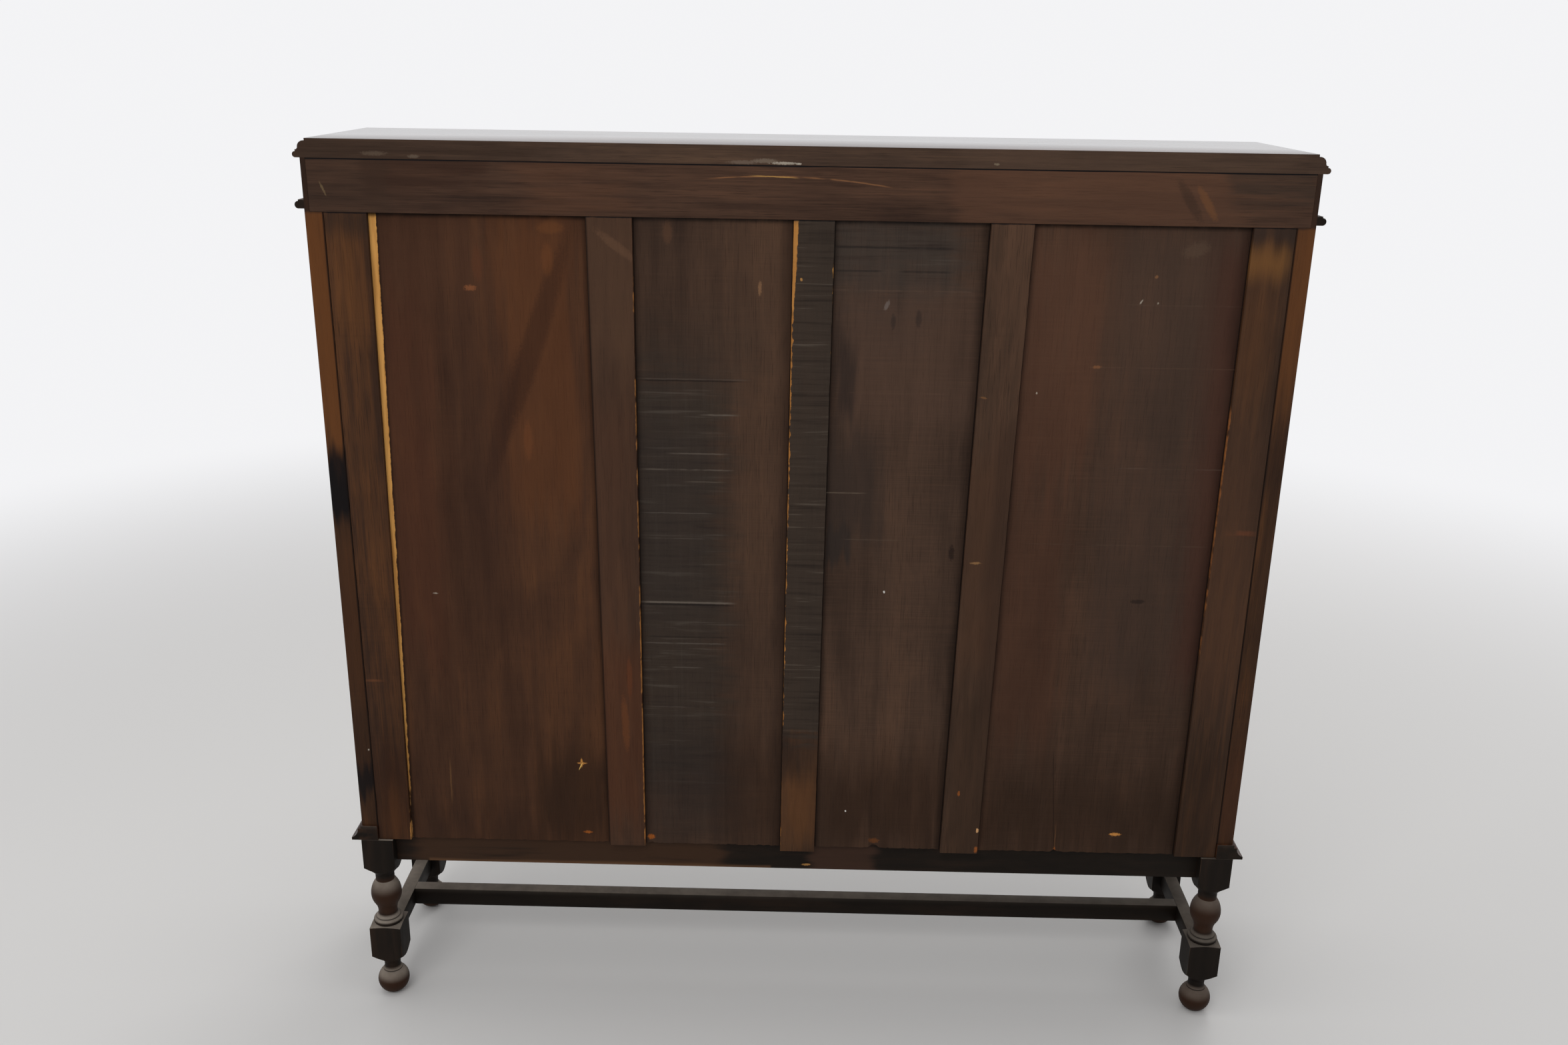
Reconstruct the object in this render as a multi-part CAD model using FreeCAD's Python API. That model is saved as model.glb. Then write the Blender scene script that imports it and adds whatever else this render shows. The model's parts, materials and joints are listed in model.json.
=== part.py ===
import FreeCAD, Part
import math
import os

# Display cabinet on a turned stand. Sizes are in millimetres, +Z is up and the front faces -Y.
# The origin is on the floor, under the middle of the cabinet's box.
# Left and right are as seen from the front.

# Carcase
CARCASE_WIDTH = 1400.0
CARCASE_DEPTH = 294.0
POST_HEIGHT = 1045.0
POST_THICKNESS = 26.0
POST_DEPTH = 50.0
RAIL_HEIGHT = 73.0
FRIEZE_THICKNESS = 22.0
BOARD_THICKNESS = 18.0
PARTITION_THICKNESS = 20.0
PARTITION_OFFSET = 274.0

# Side frames and their panels
SIDE_TOP_RAIL = 100.0
SIDE_BOTTOM_RAIL = 80.0
SIDE_PANEL_THICKNESS = 8.0
GROOVE_DEPTH = 9.0

# Moulded top
TOP_THICKNESS = 26.0
TOP_OVERHANG = 10.0
TOP_BEAD_RADIUS = 4.2
TOP_QUIRK = 2.4
TOP_COVE_WIDTH = 3.6
TOP_COVE_HEIGHT = 3.0
TOP_OVOLO_WIDTH = 8.2
TOP_OVOLO_HEIGHT = 9.0
TOP_STEP = 2.0
TOP_COVE_SAG = 1.0
TOP_OVOLO_SAG = 2.4

# String moulding below the frieze
STRING_RAISE = 4.0
STRING_PROJECTION = 13.0
STRING_BEAD_RADIUS = 5.2
STRING_FILLET = 2.0

# Base moulding
BASE_HEIGHT = 26.0
BASE_WIDTH = 58.0
BASE_PROJECTION = 18.0
BASE_LIP_PROJECTION = 2.5
BASE_LIP_HEIGHT = 5.0
BASE_STEP_PROJECTION = 7.0
BASE_NOSE_HEIGHT = 5.0
BASE_COVE_SAG = 3.6

# Back: rail, stiles, muntins and thin panels
BACK_RAIL_THICKNESS = 20.0
BACK_RAIL_LIP = 7.0
BACK_RABBET = 11.0
MUNTIN_THICKNESS = 8.0
BACK_PANEL_THICKNESS = 5.0
PANEL_JOINT = 1.0
RIGHT_STILE_TOP = 60.0
RIGHT_STILE_FOOT = 52.0
LEFT_STILE_TOP = 58.0
LEFT_STILE_FOOT = 65.0
STILE_RISE = 1.0
RIGHT_MUNTIN_TOP = 65.0
RIGHT_MUNTIN_FOOT = 58.0
RIGHT_MUNTIN_TOP_SHIFT = 3.0
RIGHT_MUNTIN_FOOT_SHIFT = -2.5
RIGHT_MUNTIN_DROP = 1.0
CENTRE_MUNTIN_TOP = 57.5
CENTRE_MUNTIN_FOOT = 55.5
CENTRE_MUNTIN_TOP_SHIFT = -9.0
CENTRE_MUNTIN_FOOT_SHIFT = -2.5
CENTRE_MUNTIN_DROP = 5.0
LEFT_MUNTIN_TOP = 60.0
LEFT_MUNTIN_FOOT = 60.0
LEFT_MUNTIN_TOP_SHIFT = -10.0
LEFT_MUNTIN_FOOT_SHIFT = 11.5
LEFT_MUNTIN_DROP = 2.0

# Shelves and bearers
SHELF_COUNT = 3
SHELF_THICKNESS = 18.0
SHELF_SET_BACK = 8.0
BEARER_WIDTH = 12.0
BEARER_HEIGHT = 20.0
BEARER_SET_BACK = 20.0

# Doors
DOOR_THICKNESS = 22.0
DOOR_STILE = 50.0
DOOR_TOP_RAIL = 50.0
DOOR_BOTTOM_RAIL = 62.0
DOOR_GAP = 2.0
REBATE_WIDTH = 9.0
REBATE_DEPTH = 12.0
GLASS_THICKNESS = 3.0
BAR_WIDTH = 16.0
BAR_DEPTH = 8.0
BAR_BEVEL = 4.5
OUTER_PANE_COLUMNS = 2
CENTRE_PANE_COLUMNS = 3

# Butt hinges
HINGE_LENGTH = 64.0
HINGE_INSET = 120.0
LEAF_WIDTH = 19.0
LEAF_THICKNESS = 1.6
LEAF_RECESS = 1.0
KNUCKLE_RADIUS = 3.5
KNUCKLE_COUNT = 5
KNUCKLE_PROUD = 3.8
PIN_RADIUS = 1.75

# Locks and keys
LOCK_DEPTH = 34.0
LOCK_HEIGHT = 52.0
LOCK_THICKNESS = 11.0
LOCK_WALL = 1.5
LOCK_RAISE = 20.0
BOLT_LENGTH = 26.0
BOLT_HEIGHT = 12.0
BOLT_THICKNESS = 5.0
BOLT_RAISE = 3.0
BOLT_THROW = 7.0
KEY_BACKSET = 18.0
KEY_DROP = 10.0
KEY_SHANK_RADIUS = 2.6
KEY_SHOULDER = 5.0
KEY_BOW_RADIUS = 10.0
KEY_BOW_HOLE = 6.2
KEY_BOW_THICKNESS = 3.4
KEY_BIT_REACH = 8.4
KEY_BIT_LENGTH = 5.0
KEY_BIT_THICKNESS = 2.2
KEY_TIP_CLEARANCE = 3.0
ESCUTCHEON_THICKNESS = 1.5
ESCUTCHEON_WIDTH = 21.0
ESCUTCHEON_TIP_DROP = 22.0
ESCUTCHEON_SHOULDER = 32.0
ESCUTCHEON_SIDE_SAG = 3.5
ESCUTCHEON_CROWN_SAG = 8.0

# Stand
STAND_HEIGHT = 303.0
LEG_BLOCK = 50.8
LEG_PROUD = 3.0
UPPER_BLOCK_FOOT = 252.0
LOWER_BLOCK_TOP = 137.5
LOWER_BLOCK_FOOT = 82.0
STRETCHER_LEVEL = 106.0
FOOT_FLAT_RADIUS = 9.0
BALL_RADIUS = 25.2
BALL_CROWN_RADIUS = 15.5
KNIFE_LINE = 1.4
ANKLE_RADIUS = 13.2
ANKLE_FLARE = 9.2
ANKLE_SAG = 1.0
SHOULDER_RADIUS = 38.0
SHOULDER_DROP = 22.5
SHOULDER_SAG = 1.4
BLOCK_FALL = 2.9
RING_FOOT_RADIUS = 22.3
RING_CROWN_RADIUS = 19.4
RING_HEIGHT = 9.7
RING_SAG = 3.0
COLLAR_RADIUS = 19.8
COLLAR_HEIGHT = 6.3
COLLAR_SAG = 1.0
WAIST_RADIUS = 15.3
WAIST_LENGTH = 3.0
BULB_RADIUS = 24.7
BULB_RISE = 33.3
NECK_RADIUS = 15.2
NECK_LENGTH = 12.5
APRON_HEIGHT = 47.0
APRON_THICKNESS = 20.0
APRON_SET_BACK = 6.0
STRETCHER_WIDTH = 22.0
STRETCHER_HEIGHT = 31.0

# Joints between wooden members, and clearances
TENON_LENGTH = 20.0
TENON_THICKNESS = 8.0
TENON_SHOULDER = 10.0
SHORT_TENON = 12.0
WOOD_FIT = 0.2
LOOSE_FIT = 0.5
RUNNING_FIT = 0.05
METAL_FIT = 0.3
KEYHOLE_FIT = 0.6
NOTCH_FIT = 1.0
APRON_CLEARANCE = 3.0
OVERCUT = 5.0

# Heights that follow from the driving sizes
BASE_TOP = STAND_HEIGHT + BASE_HEIGHT
TOP_UNDERSIDE = BASE_TOP + POST_HEIGHT
BOARD_TOP = BASE_TOP + BOARD_THICKNESS
FRIEZE_BOTTOM = TOP_UNDERSIDE - RAIL_HEIGHT
DOOR_BOTTOM = BOARD_TOP + DOOR_GAP
DOOR_TOP = FRIEZE_BOTTOM - DOOR_GAP
SHELF_PITCH = (FRIEZE_BOTTOM - BOARD_TOP) / (SHELF_COUNT + 1)
SHELF_LEVELS = [BOARD_TOP + SHELF_PITCH * (level + 1) for level in range(SHELF_COUNT)]
LOCK_LEVEL = (DOOR_BOTTOM + DOOR_TOP) / 2 + LOCK_RAISE
KEY_LEVEL = LOCK_LEVEL - KEY_DROP
BOLT_LEVEL = LOCK_LEVEL + BOLT_RAISE

# Widths and depths that follow from the driving sizes
HALF_WIDTH = CARCASE_WIDTH / 2
INNER_HALF = HALF_WIDTH - POST_THICKNESS
KEY_REACH = ESCUTCHEON_THICKNESS + KEY_SHOULDER + 2 * KEY_BOW_RADIUS
FRONT_REACH = max(KEY_REACH, BASE_PROJECTION)
BACK = (CARCASE_DEPTH + FRONT_REACH - LEG_PROUD) / 2
FRONT = BACK - CARCASE_DEPTH
MUNTIN_FRONT = BACK - MUNTIN_THICKNESS
PANEL_FRONT = MUNTIN_FRONT - BACK_PANEL_THICKNESS
LEG_X = HALF_WIDTH + LEG_PROUD - LEG_BLOCK / 2
LEG_FRONT_Y = FRONT - LEG_PROUD + LEG_BLOCK / 2
LEG_BACK_Y = BACK + LEG_PROUD - LEG_BLOCK / 2
PARTITION_INNER = PARTITION_OFFSET - PARTITION_THICKNESS / 2
PARTITION_OUTER = PARTITION_OFFSET + PARTITION_THICKNESS / 2

LEFT = -1
RIGHT = 1


def point(x, y, z):
    return FreeCAD.Vector(x, y, z)


def block(x_pair, y_pair, z_pair):
    """Box between two values on each axis, given in any order."""
    low = point(min(x_pair), min(y_pair), min(z_pair))
    high = point(max(x_pair), max(y_pair), max(z_pair))
    return Part.makeBox(high.x - low.x, high.y - low.y, high.z - low.z, low)


def around(middle, size):
    """The two ends of a length about its middle."""
    return (middle - size / 2, middle + size / 2)


def without(shape, cutters):
    """Shape with every cutter taken out of it."""
    for cutter in cutters:
        shape = shape.cut(cutter)
    return shape


def joined(shapes):
    """One solid from shapes that meet, with no seams left between them."""
    first = shapes[0]
    return first.multiFuse(shapes[1:]).removeSplitter()


def save(node, solids):
    """Write one node as a STEP file: a solid, or a group of separate solids."""
    shape = solids[0] if len(solids) == 1 else Part.makeCompound(solids)
    shape.exportStep("parts/" + node + ".step")


class Outline:
    """Closed outline of lines and arcs, drawn in a flat plane and then set in space."""

    def __init__(self, u, v):
        self.points = [(u, v)]
        self.middles = []

    def line(self, u, v):
        self.points.append((u, v))
        self.middles.append(None)
        return self

    def arc(self, u, v, sag):
        """Arc to a point; a positive sag swells to the left of the way it is drawn."""
        u0, v0 = self.points[-1]
        length = math.hypot(u - u0, v - v0)
        middle = ((u0 + u) / 2 - (v - v0) / length * sag, (v0 + v) / 2 + (u - u0) / length * sag)
        self.points.append((u, v))
        self.middles.append(middle)
        return self

    def face(self, place):
        """Flat face, with place turning each (u, v) into a point in space."""
        if self.points[-1] != self.points[0]:
            self.line(*self.points[0])
        edges = []
        for start, end, middle in zip(self.points, self.points[1:], self.middles):
            if middle is None:
                edges.append(Part.LineSegment(place(*start), place(*end)).toShape())
            else:
                edges.append(Part.Arc(place(*start), place(*middle), place(*end)).toShape())
        return Part.Face(Part.Wire(edges))


def tenon_at(direction, start, cross_pair, z_pair, along_x=True, length=TENON_LENGTH):
    """Tenon that leaves a shoulder at start, pointing up or down an axis, with its mortise."""
    end = start + direction * length
    mortise_end = end + direction * WOOD_FIT
    fit_cross = (min(cross_pair) - WOOD_FIT, max(cross_pair) + WOOD_FIT)
    fit_z = (min(z_pair) - WOOD_FIT, max(z_pair) + WOOD_FIT)
    if along_x:
        return block((start, end), cross_pair, z_pair), block((start, mortise_end), fit_cross, fit_z)
    return block(cross_pair, (start, end), z_pair), block(fit_cross, (start, mortise_end), fit_z)


# Mouldings: a plain strip whose outer edges lose the waste outside the profile

def top_waste():
    """What the plane takes off the top's edge, from the tip inwards and the underside upwards."""
    bead = 2 * TOP_BEAD_RADIUS
    cove_foot = bead + TOP_QUIRK
    cove_top = cove_foot + TOP_COVE_HEIGHT
    ovolo_top = cove_top + TOP_OVOLO_HEIGHT
    cove_end = TOP_BEAD_RADIUS + TOP_COVE_WIDTH
    ovolo_end = cove_end + TOP_OVOLO_WIDTH
    flat_start = ovolo_end + TOP_STEP
    outline = Outline(-OVERCUT, -OVERCUT)
    outline.line(TOP_BEAD_RADIUS, -OVERCUT)
    outline.line(TOP_BEAD_RADIUS, 0)
    outline.arc(TOP_BEAD_RADIUS, bead, TOP_BEAD_RADIUS)
    outline.line(TOP_BEAD_RADIUS, cove_foot)
    outline.arc(cove_end, cove_top, -TOP_COVE_SAG)
    outline.arc(ovolo_end, ovolo_top, TOP_OVOLO_SAG)
    outline.line(flat_start, ovolo_top)
    outline.line(flat_start, TOP_THICKNESS + OVERCUT)
    outline.line(-OVERCUT, TOP_THICKNESS + OVERCUT)
    return outline


def string_waste():
    """Waste of the string moulding: a half-round bead under a small fillet."""
    bead = 2 * STRING_BEAD_RADIUS
    height = bead + STRING_FILLET
    outline = Outline(-OVERCUT, -OVERCUT)
    outline.line(STRING_BEAD_RADIUS, -OVERCUT)
    outline.line(STRING_BEAD_RADIUS, 0)
    outline.arc(STRING_BEAD_RADIUS, bead, STRING_BEAD_RADIUS)
    outline.line(STRING_BEAD_RADIUS, height + OVERCUT)
    outline.line(-OVERCUT, height + OVERCUT)
    return outline


def base_waste():
    """Waste of the base moulding: a lip and a step over a hollow that runs out to a nose."""
    step = BASE_PROJECTION - BASE_STEP_PROJECTION
    lip = BASE_PROJECTION - BASE_LIP_PROJECTION
    outline = Outline(-OVERCUT, BASE_NOSE_HEIGHT)
    outline.line(0, BASE_NOSE_HEIGHT)
    outline.arc(step, BASE_HEIGHT - BASE_LIP_HEIGHT, -BASE_COVE_SAG)
    outline.line(lip, BASE_HEIGHT - BASE_LIP_HEIGHT)
    outline.line(lip, BASE_HEIGHT + OVERCUT)
    outline.line(-OVERCUT, BASE_HEIGHT + OVERCUT)
    return outline


def moulded(strip, waste, projection, z):
    """Strip with the waste planed off its left, right and front edges."""
    side_tip = HALF_WIDTH + projection
    front_tip = FRONT - projection
    run = 2 * (side_tip + OVERCUT)
    cutters = []
    for side in (LEFT, RIGHT):
        face = waste().face(lambda u, v: point(side * (side_tip - u), front_tip - OVERCUT, z + v))
        cutters.append(face.extrude(point(0, run, 0)))
    face = waste().face(lambda u, v: point(-side_tip - OVERCUT, front_tip + u, z + v))
    cutters.append(face.extrude(point(run, 0, 0)))
    return without(strip, cutters)


def mitred_lengths(ring, projection, inward, z_pair):
    """Left, right and front lengths of a moulding, parted by mitres at the front corners."""
    reach = projection + OVERCUT
    regions = []
    for side in (LEFT, RIGHT):
        inner = side * (HALF_WIDTH - inward)
        outer = side * (HALF_WIDTH + reach)
        corners = Outline(inner, FRONT + inward)
        corners.line(inner, BACK + reach)
        corners.line(outer, BACK + reach)
        corners.line(outer, FRONT - reach)
        face = corners.face(lambda u, v: point(u, v, min(z_pair)))
        regions.append(face.extrude(point(0, 0, max(z_pair) - min(z_pair))))
    return [ring.common(regions[0]), ring.common(regions[1]), without(ring, regions)]


def top_board():
    """Board with a moulded edge at the front and the ends, and a plain sawn edge at the back."""
    tip = HALF_WIDTH + TOP_OVERHANG
    z_pair = (TOP_UNDERSIDE, TOP_UNDERSIDE + TOP_THICKNESS)
    board = block((-tip, tip), (FRONT - TOP_OVERHANG, BACK), z_pair)
    return moulded(board, top_waste, TOP_OVERHANG, TOP_UNDERSIDE)


def string_moulding():
    """Bead round the carcase under the frieze, in three mitred lengths."""
    tip = HALF_WIDTH + STRING_PROJECTION
    low = FRIEZE_BOTTOM + STRING_RAISE
    z_pair = (low, low + 2 * STRING_BEAD_RADIUS + STRING_FILLET)
    strip = block((-tip, tip), (FRONT - STRING_PROJECTION, BACK), z_pair)
    carcase = block((-HALF_WIDTH, HALF_WIDTH), (FRONT, BACK + OVERCUT), z_pair)
    ring = moulded(strip.cut(carcase), string_waste, STRING_PROJECTION, low)
    return mitred_lengths(ring, STRING_PROJECTION, 0, z_pair)


def base_moulding():
    """Frame of moulding that lies on the legs and carries the carcase, open at the back."""
    tip = HALF_WIDTH + BASE_PROJECTION
    inward = BASE_WIDTH - BASE_PROJECTION
    inner = HALF_WIDTH - inward
    back_end = BACK + LEG_PROUD
    z_pair = (STAND_HEIGHT, BASE_TOP)
    strip = block((-tip, tip), (FRONT - BASE_PROJECTION, back_end), z_pair)
    middle = block((-inner, inner), (FRONT + inward, back_end), z_pair)
    notch_edge = INNER_HALF + NOTCH_FIT
    notch = block((-notch_edge, notch_edge), (PANEL_FRONT - NOTCH_FIT, back_end), z_pair)
    ring = moulded(without(strip, [middle, notch]), base_waste, BASE_PROJECTION, STAND_HEIGHT)
    return mitred_lengths(ring, BASE_PROJECTION, inward, z_pair)


# Stand

def upright_sag(width, height):
    """Sag of an arc that is upright at one end and moves sideways by width over its height."""
    radius = (width ** 2 + height ** 2) / (2 * width)
    return radius - math.sqrt(radius ** 2 - (width ** 2 + height ** 2) / 4)


def turned_leg():
    """Leg turned from a square billet: two blocks left square between the turned parts."""
    ball_middle = math.sqrt(BALL_RADIUS ** 2 - FOOT_FLAT_RADIUS ** 2)
    ball_top = ball_middle + math.sqrt(BALL_RADIUS ** 2 - BALL_CROWN_RADIUS ** 2)
    ball_chord = math.hypot(ball_top, BALL_CROWN_RADIUS - FOOT_FLAT_RADIUS)
    ball_sag = BALL_RADIUS - math.sqrt(BALL_RADIUS ** 2 - ball_chord ** 2 / 4)
    groove_top = ball_top + KNIFE_LINE
    ring_top = LOWER_BLOCK_TOP + RING_HEIGHT
    quirk_top = ring_top + KNIFE_LINE
    collar_top = quirk_top + COLLAR_HEIGHT
    waist_top = collar_top + WAIST_LENGTH
    neck_top = UPPER_BLOCK_FOOT - SHOULDER_DROP
    neck_foot = neck_top - NECK_LENGTH
    bulb_height = waist_top + BULB_RISE
    bulb_foot_radius = (WAIST_RADIUS + BULB_RADIUS) / 2
    bulb_foot_sag = upright_sag(BULB_RADIUS - bulb_foot_radius, BULB_RISE / 2)
    bulb_crown_sag = upright_sag(BULB_RADIUS - NECK_RADIUS, neck_foot - bulb_height)
    outline = Outline(0, 0)
    outline.line(FOOT_FLAT_RADIUS, 0)
    outline.arc(BALL_CROWN_RADIUS, ball_top, -ball_sag)
    outline.line(BALL_CROWN_RADIUS - KNIFE_LINE, ball_top)
    outline.line(BALL_CROWN_RADIUS - KNIFE_LINE, groove_top)
    outline.line(BALL_CROWN_RADIUS, groove_top)
    outline.arc(ANKLE_RADIUS, groove_top + ANKLE_FLARE, ANKLE_SAG)
    outline.line(ANKLE_RADIUS, LOWER_BLOCK_FOOT - SHOULDER_DROP)
    outline.arc(SHOULDER_RADIUS, LOWER_BLOCK_FOOT, SHOULDER_SAG)
    outline.line(SHOULDER_RADIUS, LOWER_BLOCK_TOP - BLOCK_FALL)
    outline.line(RING_FOOT_RADIUS, LOWER_BLOCK_TOP)
    outline.arc(RING_CROWN_RADIUS, ring_top, -RING_SAG)
    outline.line(RING_CROWN_RADIUS - KNIFE_LINE, ring_top)
    outline.line(RING_CROWN_RADIUS - KNIFE_LINE, quirk_top)
    outline.line(COLLAR_RADIUS, quirk_top)
    outline.arc(WAIST_RADIUS, collar_top, COLLAR_SAG)
    outline.line(WAIST_RADIUS, waist_top)
    outline.arc(bulb_foot_radius, waist_top + BULB_RISE / 2, bulb_foot_sag)
    outline.arc(BULB_RADIUS, bulb_height, -bulb_foot_sag)
    outline.arc(NECK_RADIUS, neck_foot, -bulb_crown_sag)
    outline.line(NECK_RADIUS, neck_top)
    outline.arc(SHOULDER_RADIUS, UPPER_BLOCK_FOOT, SHOULDER_SAG)
    outline.line(SHOULDER_RADIUS, STAND_HEIGHT)
    outline.line(0, STAND_HEIGHT)
    turning = outline.face(lambda u, v: point(u, 0, v))
    turned = turning.revolve(point(0, 0, 0), point(0, 0, 1), 360)
    billet = block(around(0, LEG_BLOCK), around(0, LEG_BLOCK), (0, STAND_HEIGHT))
    return turned.common(billet)


def stand():
    """Legs, aprons and stretchers, with the tenons of each rail let into its leg."""
    inner = LEG_X - LEG_BLOCK / 2
    behind_front = LEG_FRONT_Y + LEG_BLOCK / 2
    before_back = LEG_BACK_Y - LEG_BLOCK / 2
    apron_foot = STAND_HEIGHT - APRON_HEIGHT
    apron_tenon = (apron_foot + TENON_SHOULDER, STAND_HEIGHT - TENON_SHOULDER)
    apron_inset = APRON_SET_BACK + APRON_THICKNESS / 2
    front_y = FRONT - LEG_PROUD + apron_inset
    rear_y = PANEL_FRONT - APRON_CLEARANCE - APRON_THICKNESS / 2
    side_x = HALF_WIDTH + LEG_PROUD - apron_inset
    stretcher_z = around(STRETCHER_LEVEL, STRETCHER_HEIGHT)
    stretcher_tenon = around(STRETCHER_LEVEL, STRETCHER_HEIGHT - TENON_SHOULDER)
    mortises = []

    long_aprons = []
    for y, top in ((front_y, STAND_HEIGHT), (rear_y, BASE_TOP)):
        rail = block((-inner, inner), around(y, APRON_THICKNESS), (apron_foot, top))
        for side in (LEFT, RIGHT):
            tenon, mortise = tenon_at(side, side * inner, around(y, TENON_THICKNESS), apron_tenon)
            rail = rail.fuse(tenon)
            mortises.append(mortise)
        long_aprons.append(rail)

    side_aprons = []
    side_stretchers = []
    for side in (LEFT, RIGHT):
        y_pair = (behind_front, before_back)
        apron = block(around(side * side_x, APRON_THICKNESS), y_pair, (apron_foot, STAND_HEIGHT))
        stretcher = block(around(side * LEG_X, STRETCHER_WIDTH), y_pair, stretcher_z)
        for way, shoulder in ((-1, behind_front), (1, before_back)):
            cross = around(side * side_x, TENON_THICKNESS)
            tenon, mortise = tenon_at(way, shoulder, cross, apron_tenon, along_x=False)
            apron = apron.fuse(tenon)
            mortises.append(mortise)
            cross = around(side * LEG_X, TENON_THICKNESS)
            tenon, mortise = tenon_at(way, shoulder, cross, stretcher_tenon, along_x=False)
            stretcher = stretcher.fuse(tenon)
            mortises.append(mortise)
        side_aprons.append(apron)
        side_stretchers.append(stretcher)

    stretcher_end = LEG_X - STRETCHER_WIDTH / 2
    middle_y = (LEG_FRONT_Y + LEG_BACK_Y) / 2
    long_stretcher = block((-stretcher_end, stretcher_end), around(middle_y, STRETCHER_WIDTH), stretcher_z)
    for number, side in enumerate((LEFT, RIGHT)):
        cross = around(middle_y, TENON_THICKNESS)
        tenon, mortise = tenon_at(side, side * stretcher_end, cross, stretcher_tenon, length=SHORT_TENON)
        long_stretcher = long_stretcher.fuse(tenon)
        side_stretchers[number] = side_stretchers[number].cut(mortise)

    leg = turned_leg()
    places = {
        "front_left_leg": (-LEG_X, LEG_FRONT_Y),
        "front_right_leg": (LEG_X, LEG_FRONT_Y),
        "rear_left_leg": (-LEG_X, LEG_BACK_Y),
        "rear_right_leg": (LEG_X, LEG_BACK_Y),
    }
    for node, (x, y) in places.items():
        save(node, [without(leg.translated(point(x, y, 0)), mortises)])
    save("front_apron", [long_aprons[0].removeSplitter()])
    save("rear_apron", [long_aprons[1].removeSplitter()])
    save("side_aprons", [apron.removeSplitter() for apron in side_aprons])
    save("side_stretchers", [stretcher.removeSplitter() for stretcher in side_stretchers])
    save("long_stretcher", [long_stretcher.removeSplitter()])
    save("base_moulding", base_moulding())


# Hinges: each door names the wall that it hangs on and the wall that its lock meets

class DoorPlace:
    """Where a door hangs: its opening, the side of its hinges and its columns of panes."""

    def __init__(self, name, opening, hinge_side, columns):
        self.name = name
        self.opening = opening
        self.hinge_side = hinge_side
        self.columns = columns
        self.low = opening[0] + DOOR_GAP
        self.high = opening[1] - DOOR_GAP
        hinge_wall = opening[0] if hinge_side == LEFT else opening[1]
        self.hinge_wall = hinge_wall
        self.hinge_edge = hinge_wall - hinge_side * DOOR_GAP
        self.axis_x = hinge_wall - hinge_side * DOOR_GAP / 2
        self.axis_y = FRONT - KNUCKLE_PROUD
        self.lock_wall = opening[1] if hinge_side == LEFT else opening[0]
        self.lock_side = -hinge_side
        self.lock_edge = self.lock_wall - self.lock_side * DOOR_GAP

    def hinge_levels(self):
        return [DOOR_BOTTOM + HINGE_INSET, DOOR_TOP - HINGE_INSET]


DOORS = [
    DoorPlace("left_door", (-INNER_HALF, -PARTITION_OUTER), LEFT, OUTER_PANE_COLUMNS),
    DoorPlace("centre_door", (-PARTITION_INNER, PARTITION_INNER), LEFT, CENTRE_PANE_COLUMNS),
    DoorPlace("right_door", (PARTITION_OUTER, INNER_HALF), RIGHT, OUTER_PANE_COLUMNS),
]


def leaf_pocket(wall, way, level):
    """Shallow housing that lets a hinge leaf into an edge; way points into the wood."""
    y_pair = (FRONT, FRONT + LEAF_WIDTH)
    return block((wall, wall + way * LEAF_RECESS), y_pair, around(level, HINGE_LENGTH))


def hinge_leaf(door, level, wall, way, own_knuckles):
    """Leaf with its own knuckles on the hinge axis; way points into the wood that it is let into."""
    back = wall + way * LEAF_RECESS
    face = back - way * LEAF_THICKNESS
    z_low = level - HINGE_LENGTH / 2
    pitch = HINGE_LENGTH / KNUCKLE_COUNT
    pieces = [block((back, face), (FRONT, FRONT + LEAF_WIDTH), around(level, HINGE_LENGTH))]
    bores = []
    for number in own_knuckles:
        z_start = z_low + pitch * number + METAL_FIT / 2
        height = pitch - METAL_FIT
        centre = point(door.axis_x, door.axis_y, z_start)
        pieces.append(block((back, face), (door.axis_y, FRONT), (z_start, z_start + height)))
        pieces.append(Part.makeCylinder(KNUCKLE_RADIUS, height, centre))
        bores.append(Part.makeCylinder(PIN_RADIUS + RUNNING_FIT, height, centre))
    return without(joined(pieces), bores)


def hinge_pin(door, level):
    """Pin that runs the length of a hinge."""
    centre = point(door.axis_x, door.axis_y, level - HINGE_LENGTH / 2)
    return Part.makeCylinder(PIN_RADIUS, HINGE_LENGTH, centre)


def bolt_mortise(door):
    """Mortise in the wall beside a door's lock, where its bolt goes in."""
    depth = BOLT_THROW - DOOR_GAP + NOTCH_FIT
    middle_y = FRONT + DOOR_THICKNESS - LOCK_THICKNESS / 2
    y_pair = around(middle_y, BOLT_THICKNESS + 2 * NOTCH_FIT)
    z_pair = (BOLT_LEVEL - NOTCH_FIT, BOLT_LEVEL + BOLT_HEIGHT + NOTCH_FIT)
    return block((door.lock_wall, door.lock_wall + door.lock_side * depth), y_pair, z_pair)


def wall_cuts():
    """Every leaf pocket and bolt mortise that the doors need in posts and partitions."""
    cuts = []
    for door in DOORS:
        cuts.append(bolt_mortise(door))
        for level in door.hinge_levels():
            cuts.append(leaf_pocket(door.hinge_wall, door.hinge_side, level))
    return cuts


def fixed_hinges():
    """Leaves on the posts and the partition, and the pins of all the hinges."""
    fixed_knuckles = range(0, KNUCKLE_COUNT, 2)
    leaves = []
    pins = []
    for door in DOORS:
        for level in door.hinge_levels():
            leaves.append(hinge_leaf(door, level, door.hinge_wall, door.hinge_side, fixed_knuckles))
            pins.append(hinge_pin(door, level))
    save("fixed_hinge_leaves", leaves)
    save("hinge_pins", pins)


# Doors

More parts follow.
